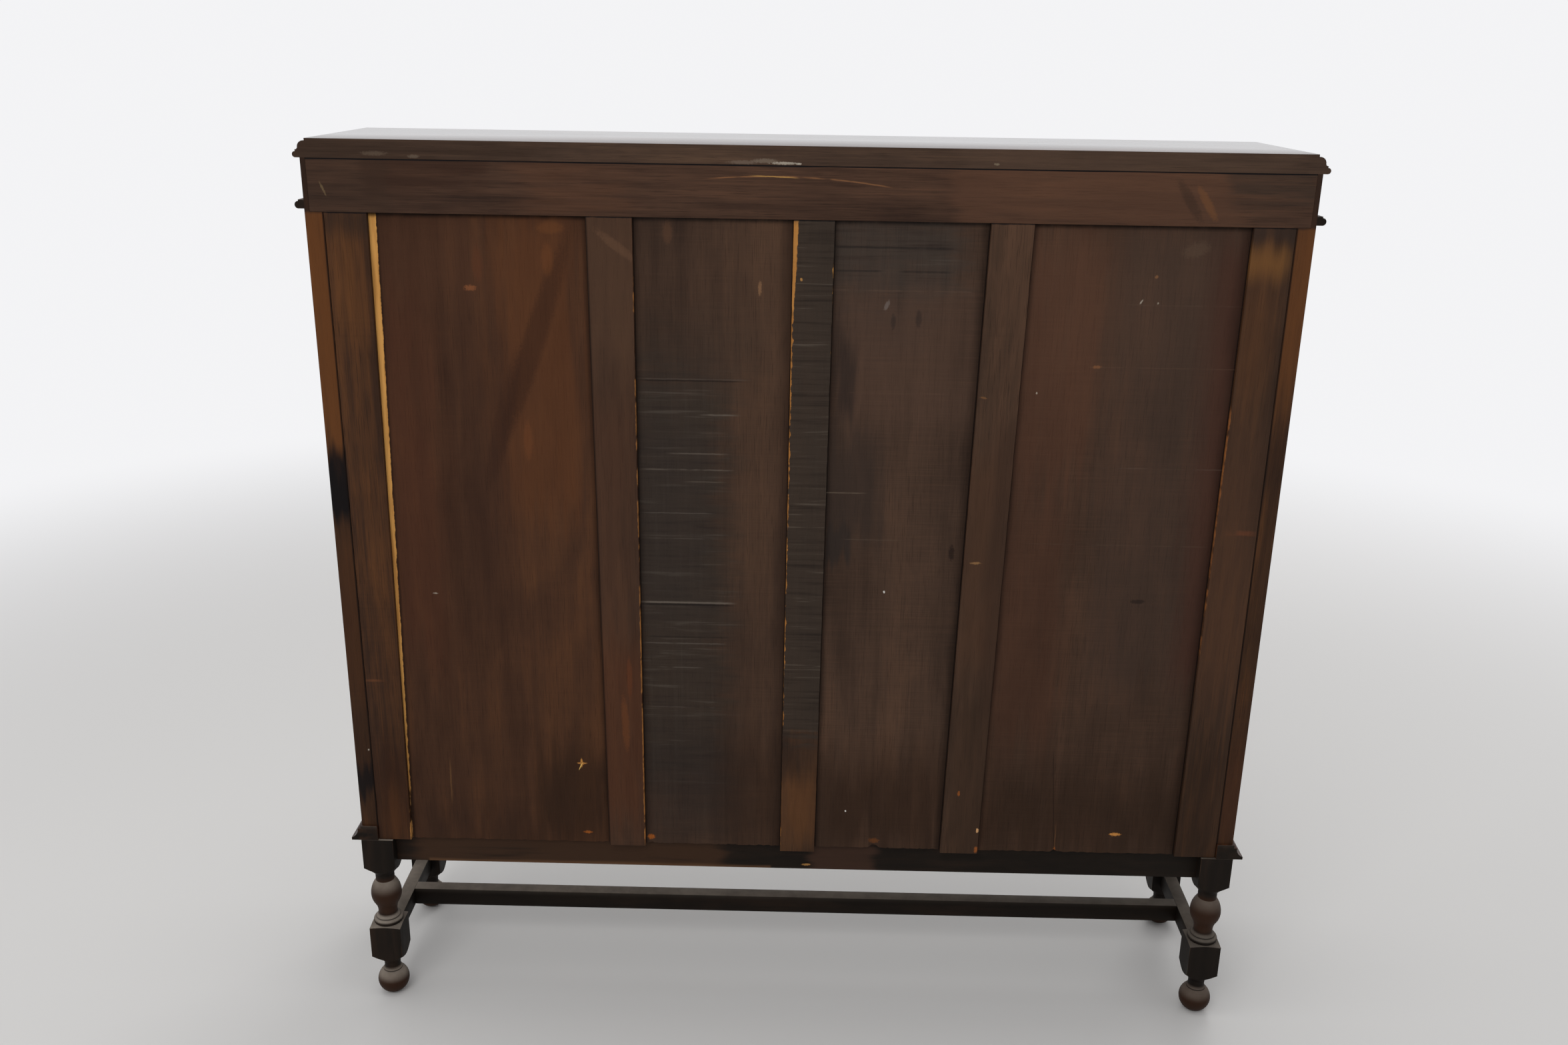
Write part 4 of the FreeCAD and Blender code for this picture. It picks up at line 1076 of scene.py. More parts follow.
@dataclass
class BackPanels:
    """Four thin panels between the muntins, with ragged feet."""

    cuts: int = 72
    torn: float = 0.0016
    arris: float = 0.0004
    foot_band: float = 0.001
    front_facing: float = -0.7
    # Painted shadow under the back rail, across the tops of the panels.
    under_rail: Mark = Patch((-0.70, 0.70), (1.2975, 1.34), PAINTED_SHADE, strength=0.95, soft=0.005, ragged=0.002)
    chips: dict[str, Triple] = field(default_factory=lambda: {
        "back_panel_mid_left": (-0.1257, 0.008, 0.0065),
        "back_panel_far_left": (-0.4165, 0.003, 0.0050),
        "back_panel_mid_right": (0.2336, 0.004, 0.0020),
    })

    def far_right(self) -> Dressing:
        """Far right panel: warm brown, with bare wood along its outer edge.

        Returns:
            Its stain and marks.
        """
        stain = Stain("panel_a", tint(48, 30, 21), tint(69, 45, 31), tint(92, 59, 37), figure=0.16, seed=1.0,
                      heart=(-0.44, 0.02, 0.0), lean=6.0, ring=9.0, saw=0.12, weave=0.35)
        return Dressing(stain, (
            Patch((0.33, 0.44), (0.86, 1.32), tint(88, 52, 29), strength=0.55, soft=0.06, ragged=0.09),
            Patch((0.44, 0.50), (0.70, 1.16), tint(52, 33, 25), strength=0.45, soft=0.08, ragged=0.09),
            Patch((0.46, 0.62), (1.18, 1.32), tint(72, 46, 32), strength=0.5, soft=0.05, ragged=0.08),
            Patch((0.54, 0.62), (0.62, 1.18), tint(74, 42, 28), strength=0.5, soft=0.08, ragged=0.07),
            Patch((0.30, 0.42), (0.29, 0.47), tint(46, 30, 20), soft=0.05, ragged=0.08),
            Patch((0.44, 0.60), (0.29, 0.36), tint(50, 33, 24), strength=0.6, soft=0.04, ragged=0.08),
            EdgeShade((0.3095, 1.301), (0.3005, 0.304), Side.HIGHER_X),
            EdgeShade((0.6026, 1.301), (0.6192, 0.304), Side.LOWER_X, width=0.005, strength=0.55),
            RawEdge((0.6138, 1.3015), (0.6214, 0.390), Side.LOWER_X, 0.0112, 0.0028, tint(204, 150, 82),
                    ragged=0.0022),
            RawEdge((0.6211, 0.400), (0.6218, 0.306), Side.LOWER_X, 0.0012, 0.0012, tint(178, 136, 84),
                    ragged=0.0012, gaps=0.50),
            self.under_rail,
            Fleck(0.390, 1.120, 0.020, 0.170, tint(46, 29, 22), strength=0.50, slope=-0.336, crumble=1.0),
            Fleck(0.440, 1.000, 0.016, 0.120, tint(48, 31, 24), strength=0.40, slope=-0.25, crumble=1.0),
            Fleck(0.360, 1.284, 0.022, 0.010, tint(104, 64, 36), strength=0.45, crumble=1.4),
            Fleck(0.366, 1.240, 0.010, 0.026, tint(104, 62, 34), strength=0.40, crumble=1.4),
            Fleck(0.404, 0.975, 0.008, 0.034, tint(104, 62, 36), strength=0.45, crumble=1.4),
            Fleck(0.465, 1.232, 0.009, 0.030, tint(86, 50, 32), strength=0.45, crumble=1.4),
            Spot(0.477, 1.1976, 0.010, 0.005, tint(128, 78, 48), strength=0.65),
            Fleck(0.557, 0.731, 0.0045, 0.0012, DUST, strength=0.6),
            Split((0.5535, 0.375), (0.5525, 0.440), tint(112, 80, 50), width=0.0020, strength=0.45,
                  raised=0.0),
            Spot(0.3420, 0.4455, 0.0085, 0.0017, BARE_TAN, strength=1.0, crumble=1.0),
            Spot(0.3425, 0.4460, 0.0020, 0.0090, BARE_TAN, strength=1.0, crumble=1.0),
            Spot(0.3420, 0.4450, 0.0040, 0.0032, tint(170, 116, 60)),
            # Sliver of bare wood, painted brighter as the highlight on the raised splinter.
            Spot(0.3440, 0.4400, 0.0011, 0.0075, tint(226, 184, 104), strength=1.0, slope=-0.45, raised=0.3,
                 crumble=0.6),
            Spot(0.336, 0.321, 0.0080, 0.0028, BARE_ORANGE),
        ))

    def mid_right(self) -> Dressing:
        """Mid right panel: weathered black over half its width.

        Returns:
            Its stain and marks.
        """
        stain = Stain("panel_b", tint(47, 34, 27), tint(67, 49, 38), tint(88, 64, 48), figure=0.1, seed=2.0,
                      heart=(-0.10, 0.03, 0.0), ring=9.0, weave=0.5)
        return Dressing(stain, (
            Weathered((0.112, 0.26), (0.40, 1.085), strength=0.80, soft=0.035, ridge=0.30),
            Weathered((0.145, 0.26), (0.70, 0.99), strength=0.55, soft=0.030, ridge=0.25, pitch=100.0,
                      skin=tint(52, 44, 39)),
            Weathered((0.085, 0.26), (0.29, 0.50), strength=0.6, soft=0.05, ridge=0.10, pitch=90.0,
                      skin=tint(46, 38, 34), crests=0.1),
            Weathered((0.07, 0.26), (1.08, 1.16), strength=0.30, soft=0.04, ridge=0.10, pitch=90.0,
                      crests=0.1),
            Patch((0.02, 0.12), (0.29, 0.50), tint(46, 29, 19), strength=0.50, soft=0.07),
            EdgeShade((0.2445, 1.301), (0.2425, 0.304), Side.LOWER_X),
            EdgeShade((0.01975, 1.301), (0.02525, 0.304), Side.HIGHER_X, width=0.026, strength=0.80),
            # Level lines over the weathered half: the pale ones are painted highlights on ridge crests, the
            # dark ones painted shadow under them.
            Hairline((0.105, 0.238), 0.7240, tint(112, 102, 92), width=0.0022, strength=0.60, gaps=0.30),
            Hairline((0.105, 0.238), 0.7205, tint(24, 20, 19), width=0.0022, strength=0.60, gaps=0.25),
            Hairline((0.095, 0.235), 1.0690, tint(26, 21, 19), width=0.0016, strength=0.60, gaps=0.30),
            Hairline((0.085, 0.235), 1.0712, tint(84, 74, 66), width=0.0014, strength=0.40, gaps=0.35),
            Hairline((0.100, 0.146), 1.0187, tint(110, 100, 90), width=0.0018, strength=0.50, gaps=0.30),
            Hairline((0.116, 0.194), 0.9597, tint(104, 94, 84), width=0.0016, strength=0.45, gaps=0.35),
            Hairline((0.108, 0.234), 0.9350, tint(104, 94, 84), width=0.0016, strength=0.45, gaps=0.40),
            Hairline((0.120, 0.170), 0.9165, tint(96, 86, 76), width=0.0014, strength=0.40, gaps=0.35),
            Hairline((0.138, 0.234), 0.8674, tint(96, 88, 80), strength=0.40, gaps=0.35),
            Hairline((0.125, 0.230), 0.8273, tint(88, 80, 72), strength=0.30, gaps=0.42),
            Hairline((0.110, 0.234), 0.6670, tint(26, 22, 20), width=0.0016, strength=0.45, gaps=0.35),
            Hairline((0.118, 0.236), 0.6564, tint(98, 90, 82), width=0.0014, strength=0.45, gaps=0.38),
            Hairline((0.155, 0.212), 0.6159, tint(96, 88, 80), width=0.0014, strength=0.45, gaps=0.35),
            Hairline((0.110, 0.235), 0.5480, tint(90, 80, 72), width=0.0014, strength=0.35, gaps=0.45),
            self.under_rail,
            Fleck(0.066, 1.204, 0.0030, 0.0120, tint(132, 98, 70), strength=0.6),
            Fleck(0.196, 1.280, 0.0080, 0.0180, tint(92, 64, 46), strength=0.4, crumble=1.4),
            Spot(0.2336, 0.315, 0.0070, 0.0055, BARE_ORANGE, strength=1.0),
        ))

    def mid_left(self) -> Dressing:
        """Mid left panel: greyed under the rail, dark at the foot.

        Returns:
            Its stain and marks.
        """
        stain = Stain("panel_c", tint(50, 37, 29), tint(71, 53, 42), tint(92, 67, 51), figure=0.1, seed=3.0,
                      heart=(0.20, 0.03, 0.0), ring=9.0, saw=0.3, weave=0.8)
        return Dressing(stain, (
            Weathered((-0.215, -0.02), (1.200, 1.32), strength=0.70, soft=0.030, ridge=0.15, pitch=150.0,
                      skin=tint(57, 51, 46), crest_highlight=tint(88, 82, 75), crests=0.3),
            Weathered((-0.17, -0.02), (1.115, 1.20), strength=0.35, soft=0.04, ridge=0.10, pitch=130.0,
                      skin=tint(50, 43, 39), crests=0.2),
            Patch((-0.25, -0.05), (1.00, 1.21), tint(86, 64, 52), strength=0.35, soft=0.05, ragged=0.08),
            Patch((-0.070, -0.045), (1.02, 1.13), tint(36, 30, 28)),
            Patch((-0.075, -0.030), (0.792, 0.850), tint(43, 37, 34), strength=0.75, soft=0.012),
            Patch((-0.115, -0.02), (0.835, 0.99), tint(50, 41, 36), strength=0.6, soft=0.04),
            Patch((-0.24, -0.03), (0.29, 0.47), tint(42, 27, 18), strength=0.72, soft=0.07),
            EdgeShade((-0.03775, 1.301), (-0.03025, 0.304), Side.LOWER_X),
            EdgeShade((-0.254, 1.301), (-0.2325, 0.304), Side.HIGHER_X, width=0.018, strength=0.92),
            self.under_rail,
            Fleck(-0.114, 1.183, 0.0040, 0.0080, tint(118, 108, 102), strength=0.45, slope=-0.4),
            Fleck(-0.160, 1.165, 0.0050, 0.0150, tint(34, 30, 30), strength=0.45, crumble=1.4),
            Fleck(-0.124, 1.160, 0.0040, 0.0130, tint(34, 30, 30), strength=0.45, crumble=1.4),
            Hairline((-0.20, -0.035), 1.2640, tint(28, 25, 24), width=0.0022, strength=0.55, gaps=0.40),
            Hairline((-0.20, -0.035), 1.2310, tint(30, 26, 25), width=0.0022, strength=0.50, gaps=0.45),
            Hairline((-0.24, -0.04), 1.2040, tint(96, 76, 62), width=0.0016, strength=0.24, gaps=0.45),
            Hairline((-0.20, -0.04), 1.0560, tint(94, 72, 58), width=0.0014, strength=0.16, gaps=0.48),
            Hairline((-0.088, -0.030), 0.9040, tint(110, 96, 82), strength=0.50, gaps=0.30),
            Hairline((-0.145, -0.060), 0.8310, tint(92, 78, 66), strength=0.30, gaps=0.40),
            Fleck(-0.225, 0.8125, 0.0050, 0.0140, tint(32, 23, 20), strength=0.7),
            Spot(-0.0788, 0.3695, 0.0016, 0.0016, tint(226, 222, 214), strength=1.0),
            Spot(-0.1264, 0.7480, 0.0016, 0.0024, tint(210, 206, 198), strength=1.0),
            Spot(-0.1257, 0.3170, 0.0100, 0.0050, tint(104, 62, 32), strength=0.7),
        ))

    def far_left(self) -> Dressing:
        """Far left panel: even brown, with a split at the foot.

        Returns:
            Its stain and marks.
        """
        stain = Stain("panel_d", tint(47, 34, 26), tint(67, 49, 38), tint(90, 63, 47), figure=0.16, seed=4.0,
                      heart=(0.47, 0.02, 0.0), lean=-5.0, ring=9.0, saw=0.25, weave=0.8)
        return Dressing(stain, (
            Patch((-0.64, -0.28), (1.08, 1.32), tint(88, 66, 52), strength=0.28, soft=0.08, ragged=0.09),
            Patch((-0.43, -0.28), (0.92, 1.30), tint(84, 53, 38), strength=0.45, soft=0.07, ragged=0.09),
            Patch((-0.40, -0.28), (0.50, 0.90), tint(72, 45, 32), strength=0.5, soft=0.07, ragged=0.09),
            Patch((-0.64, -0.44), (0.60, 1.32), tint(60, 47, 40), strength=0.5, soft=0.07, ragged=0.09),
            Patch((-0.63, -0.575), (0.60, 1.28), tint(68, 38, 28), strength=0.55, soft=0.05, ragged=0.05),
            Patch((-0.62, -0.28), (0.29, 0.44), tint(42, 27, 17), strength=0.58, soft=0.07, ragged=0.08),
            EdgeShade((-0.314, 1.301), (-0.2925, 0.304), Side.LOWER_X),
            EdgeShade((-0.6158, 1.301), (-0.6088, 0.304), Side.HIGHER_X, width=0.022, strength=0.85),
            self.under_rail,
            Hairline((-0.62, -0.40), 1.0998, tint(92, 70, 56), strength=0.25, gaps=0.46),
            Hairline((-0.62, -0.42), 1.1900, tint(88, 70, 58), strength=0.22, gaps=0.48),
            Hairline((-0.62, -0.44), 0.9500, tint(86, 70, 60), strength=0.40, gaps=0.46),
            Hairline((-0.60, -0.34), 0.8300, tint(84, 66, 54), strength=0.35, gaps=0.48),
            Fleck(-0.4722, 1.1945, 0.0016, 0.0036, DUST, strength=0.55, slope=-0.5),
            Fleck(-0.4957, 1.1930, 0.0013, 0.0018, DUST, strength=0.5),
            Fleck(-0.3347, 1.0602, 0.0014, 0.0020, DUST, strength=0.6),
            Fleck(-0.4900, 1.2300, 0.0026, 0.0030, tint(140, 98, 64), strength=0.5),
            Fleck(-0.5419, 1.2683, 0.0200, 0.0130, tint(90, 72, 58), strength=0.35, slope=-0.6),
            Fleck(-0.4180, 1.1000, 0.0080, 0.0026, tint(134, 88, 56), strength=0.5),
            Fleck(-0.5101, 0.7401, 0.0130, 0.0040, tint(30, 24, 22), strength=0.6),
            Spot(-0.5124, 0.3378, 0.0100, 0.0034, tint(196, 134, 70), strength=0.95),
            Split((-0.4173, 0.296), (-0.4030, 0.480), tint(26, 19, 16), strength=0.5),
            Split((-0.4173, 0.303), (-0.4170, 0.350), tint(98, 68, 46), width=0.0016, strength=0.5,
                  raised=0.0),
            Spot(-0.4175, 0.3060, 0.0024, 0.0070, BARE_ORANGE, strength=0.7),
        ))

    def build(self) -> list[bpy.types.Object]:
        """Model the panels.

        Returns:
            The finished panels.
        """
        made = []
        inside = Timber(INSIDE, Grain.Z, (), "_back").material
        dressings = {
            "back_panel_far_right": self.far_right(), "back_panel_mid_right": self.mid_right(),
            "back_panel_mid_left": self.mid_left(), "back_panel_far_left": self.far_left(),
        }
        for node, dressing in dressings.items():
            low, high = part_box(node)
            piece = Bench.board(node + "_torn", low, high)
            Bench.divide(piece, Grain.X, self.cuts)
            self.tear_foot(piece, low.z, self.chips.get(node))
            Bench.ease_arrises(piece, self.arris)
            piece.data.materials.append(Timber(dressing.stain, Grain.Z, dressing.marks).material)
            piece.data.materials.append(inside)
            for face in piece.data.polygons:
                face.material_index = int(face.normal.y < self.front_facing)
            made.append(seat(piece, node))
        return made

    def tear_foot(self, piece: bpy.types.Object, foot: float, chip: Optional[Triple]) -> None:
        """Tear the lower edge of a panel a little, and break out its chip.

        Args:
            piece: Panel.
            foot: Height of its lower edge.
            chip: Middle, half width and height of a chip, or None.
        """
        rng = random.Random(piece.name)
        places = sorted({round(v.co.x, 5) for v in piece.data.vertices})
        wander = {place: rng.random() ** 2 * self.torn for place in places}
        for vertex in piece.data.vertices:
            if vertex.co.z < foot + self.foot_band:
                vertex.co.z += wander[round(vertex.co.x, 5)]
                if chip is not None and abs(vertex.co.x - chip[0]) < chip[1]:
                    vertex.co.z += chip[2] * (1.0 - (abs(vertex.co.x - chip[0]) / chip[1]) ** 2)


@dataclass
class BackStrips:
    """Stiles and muntins of the back: leaning strips with eased and torn edges."""

    cuts: int = 150
    arris: float = 0.0009
    torn: float = 0.0012
    back_band: float = 0.001
    same_level: float = 1e-5
    # Painted shade line at the strip heads, under the back rail.
    head: Mark = Patch((-0.75, 0.75), (1.2995, 1.32), BLACK_STAIN_AND_SHADE, strength=0.9, soft=0.0008, ragged=0.0012)

    def right_stile(self) -> Dressing:
        """Right stile: dark, rubbed to orange below its head.

        Returns:
            Its stain and marks, and how torn its edges are.
        """
        stain = Stain("stile_a", tint(38, 25, 18), tint(57, 38, 27), tint(88, 56, 33), seed=12.0,
                      fibre=0.9, figure=0.1)
        return Dressing(stain, (
            Patch((0.632, 0.655), (1.13, 1.275), tint(106, 66, 34), strength=0.6, soft=0.05, ragged=0.03),
            Patch((0.60, 0.68), (1.272, 1.31), tint(46, 34, 27), strength=0.6, soft=0.015, ragged=0.02),
            Patch((0.62, 0.68), (0.30, 0.48), tint(50, 28, 16), strength=0.62, soft=0.06),
            Patch((0.634, 0.656), (0.31, 0.40), tint(86, 52, 28), strength=0.5, ragged=0.03),
            Hairline((0.650, 0.672), 0.5862, tint(104, 64, 40), width=0.0030, strength=0.6, gaps=0.2),
            RawEdge((0.6214, 0.352), (0.6218, 0.304), Side.HIGHER_X, 0.0014, 0.0016, tint(178, 128, 72),
                    ragged=0.0014, gaps=0.44),
            self.head,
        ), torn=(0.0, 0.4))

    def right_muntin(self) -> Dressing:
        """Right muntin: brown, warmer towards the foot.

        Returns:
            Its stain and marks, and how torn its edges are.
        """
        stain = Stain("muntin_a", tint(46, 33, 26), tint(69, 49, 37), tint(90, 62, 44), seed=13.0,
                      figure=0.1, fibre=0.6)
        return Dressing(stain, (
            Patch((0.23, 0.32), (0.34, 0.66), tint(78, 44, 26), strength=0.55, soft=0.06),
            Patch((0.23, 0.265), (0.88, 1.10), tint(64, 43, 31), strength=0.5, soft=0.06),
            Patch((0.26, 0.32), (0.66, 1.04), tint(74, 48, 34), strength=0.45, soft=0.06),
            Fleck(0.270, 0.520, 0.0070, 0.0550, tint(106, 63, 36), strength=0.48, slope=0.05, crumble=1.6),
            Fleck(0.262, 0.600, 0.0050, 0.0400, tint(104, 58, 34), strength=0.40, crumble=1.2),
            Patch((0.23, 0.32), (1.10, 1.32), tint(80, 57, 42), strength=0.65, soft=0.06),
            Fleck(0.2660, 1.2600, 0.0120, 0.0260, tint(102, 74, 55), strength=0.40, slope=1.2, crumble=1.6),
            EdgeShade((0.3095, 1.301), (0.3005, 0.304), Side.LOWER_X, width=0.004, strength=0.7),
            RawEdge((0.2445, 1.296), (0.2425, 0.310), Side.HIGHER_X, 0.0010, 0.0018, tint(156, 106, 58),
                    ragged=0.0016, gaps=0.51, fade=-0.2),
            self.head,
        ), torn=(0.5, 0.2))

    def centre_muntin(self) -> Dressing:
        """Centre muntin: weathered and ridged, with bare wood along its edges.

        Returns:
            Its stain and marks, and how torn its edges are.
        """
        stain = Stain("strip_ridged", tint(42, 30, 22), tint(66, 46, 33), tint(92, 62, 39), seed=11.0,
                      fibre=0.6)
        return Dressing(stain, (
            Weathered((-0.08, 0.08), (0.500, 1.36), strength=0.92, soft=0.012, ridge=0.40, pitch=160.0,
                      skin=tint(56, 47, 40), crest_highlight=tint(96, 87, 77), crests=0.55, hollow_shade=tint(36, 30, 26),
                      weave=0.15),
            RawEdge((0.01975, 1.300), (0.02047, 1.170), Side.LOWER_X, 0.0078, 0.0036, tint(172, 120, 62),
                    ragged=0.0026),
            RawEdge((0.02047, 1.170), (0.02525, 0.310), Side.LOWER_X, 0.0026, 0.0004, tint(160, 108, 54),
                    ragged=0.0044, gaps=0.43, fade=0.15),
            RawEdge((-0.03775, 1.240), (-0.0375, 1.05), Side.HIGHER_X, 0.0016, 0.0012, tint(190, 140, 74),
                    ragged=0.0022, gaps=0.56),
            Spot(0.0075, 1.2190, 0.0020, 0.0026, tint(176, 128, 72), strength=0.8),
            Patch((-0.03, 0.02), (0.32, 0.45), tint(102, 66, 38), strength=0.55, soft=0.04),
            Patch((0.0, 0.03), (0.42, 0.50), tint(40, 30, 25), strength=0.6, soft=0.02),
            self.head,
        ), torn=(0.6, 1.0))

    def left_muntin(self) -> Dressing:
        """Left muntin: grey brown, chipped at the foot.

        Returns:
            Its stain and marks, and how torn its edges are.
        """
        stain = Stain("muntin_c", tint(45, 33, 26), tint(65, 48, 37), tint(86, 62, 47), seed=14.0,
                      figure=0.12, fibre=0.6)
        return Dressing(stain, (
            Patch((-0.30, -0.24), (0.62, 0.96), tint(72, 49, 35), strength=0.6, soft=0.05),
            Patch((-0.33, -0.24), (0.28, 0.60), tint(52, 37, 27), strength=0.62, soft=0.06),
            Patch((-0.33, -0.280), (0.55, 1.02), tint(50, 35, 27), strength=0.5, ragged=0.02),
            Fleck(-0.2573, 1.0537, 0.0050, 0.0020, tint(112, 78, 50), strength=0.8, slope=1.5),
            Fleck(-0.2607, 0.8002, 0.0090, 0.0022, tint(140, 104, 68), strength=0.75),
            Spot(-0.2570, 0.4100, 0.0026, 0.0055, BARE_ORANGE, strength=0.7),
            Spot(-0.2905, 0.3440, 0.0026, 0.0045, tint(206, 158, 110)),
            Spot(-0.2900, 0.3090, 0.0034, 0.0065, tint(150, 86, 42), strength=0.8),
            self.head,
        ), torn=(0.4, 0.6))

    def left_stile(self) -> Dressing:
        """Left stile: dark, with a pale patch below its head.

        Returns:
            Its stain and marks, and how torn its edges are.
        """
        stain = Stain("stile_d", tint(37, 26, 20), tint(57, 41, 31), tint(86, 58, 38), seed=15.0,
                      fibre=0.8, figure=0.1)
        return Dressing(stain, (
            Patch((-0.668, -0.60), (1.235, 1.275), tint(118, 80, 42), soft=0.02, ragged=0.02),
            Patch((-0.655, -0.61), (1.05, 1.25), tint(88, 56, 34), strength=0.6, soft=0.08, ragged=0.03),
            Patch((-0.68, -0.60), (1.282, 1.31), tint(50, 38, 32), soft=0.012, ragged=0.02),
            Patch((-0.68, -0.60), (0.58, 1.02), tint(78, 53, 38), strength=0.6, soft=0.08, ragged=0.04),
            Patch((-0.68, -0.60), (0.28, 0.50), tint(42, 28, 19), strength=0.58, soft=0.06, ragged=0.04),
            Hairline((-0.668, -0.632), 0.8560, tint(116, 66, 42), width=0.0056, strength=0.42, gaps=0.36,
                    bow=3.0),
            RawEdge((-0.6140, 1.04), (-0.6110, 0.66), Side.LOWER_X, 0.0011, 0.0009, tint(150, 94, 54),
                    ragged=0.0012, gaps=0.47),
            self.head,
        ), torn=(0.0, 0.3))

    def build(self) -> list[bpy.types.Object]:
        """Model the strips.

        Returns:
            The finished strips.
        """
        made = []
        dressings = {
            "right_back_stile": self.right_stile(), "right_muntin": self.right_muntin(),
            "centre_muntin": self.centre_muntin(), "left_muntin": self.left_muntin(),
            "left_back_stile": self.left_stile(),
        }
        for node, dressing in dressings.items():
            low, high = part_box(node)
            piece = Bench.board(node + "_worn", low, high)
            self.lean(piece, node)
            Bench.divide(piece, Grain.Z, self.cuts)
            self.tear_edges(piece, dressing.torn)
            Bench.ease_arrises(piece, self.arris)
            piece.data.materials.append(Timber(dressing.stain, Grain.Z, dressing.marks).material)
            made.append(seat(piece, node))
        return made

    def lean(self, piece: bpy.types.Object, node: str) -> None:
        """Move a strip's corners to those of its CAD node.

        Args:
            piece: Strip.
            node: CAD node that it stands for.
        """
        corners = [vertex.co for vertex in frame["nodes"][node].data.vertices]
        for at_top in (True, False):
            height = max(c.z for c in corners) if at_top else min(c.z for c in corners)
            across = [c.x for c in corners if abs(c.z - height) < self.same_level]
            own = [v for v in piece.data.vertices if abs(v.co.z - height) < self.same_level]
            middle = sum(v.co.x for v in own) / len(own)
            for vertex in own:
                vertex.co.x = max(across) if vertex.co.x > middle else min(across)

    def tear_edges(self, piece: bpy.types.Object, torn: Pair) -> None:
        """Tear the long edges inwards here and there.

        Args:
            piece: Strip.
            torn: How torn its edges at low and at high x are, from 0 to 1.
        """
        rng = random.Random(piece.name)
        levels = sorted({round(v.co.z, 4) for v in piece.data.vertices})
        drift = {level: [rng.random() ** 3, rng.random() ** 3] for level in levels}
        middle: dict[float, float] = {}
        for level in levels:
            row = [v.co.x for v in piece.data.vertices if round(v.co.z, 4) == level]
            middle[level] = sum(row) / len(row)
        back = max(v.co.y for v in piece.data.vertices)
        for vertex in piece.data.vertices:
            level = round(vertex.co.z, 4)
            if vertex.co.y < back - self.back_band or level in (levels[0], levels[-1]):
                continue
            if vertex.co.x < middle[level]:
                vertex.co.x += drift[level][0] * torn[0] * self.torn
            else:
                vertex.co.x -= drift[level][1] * torn[1] * self.torn


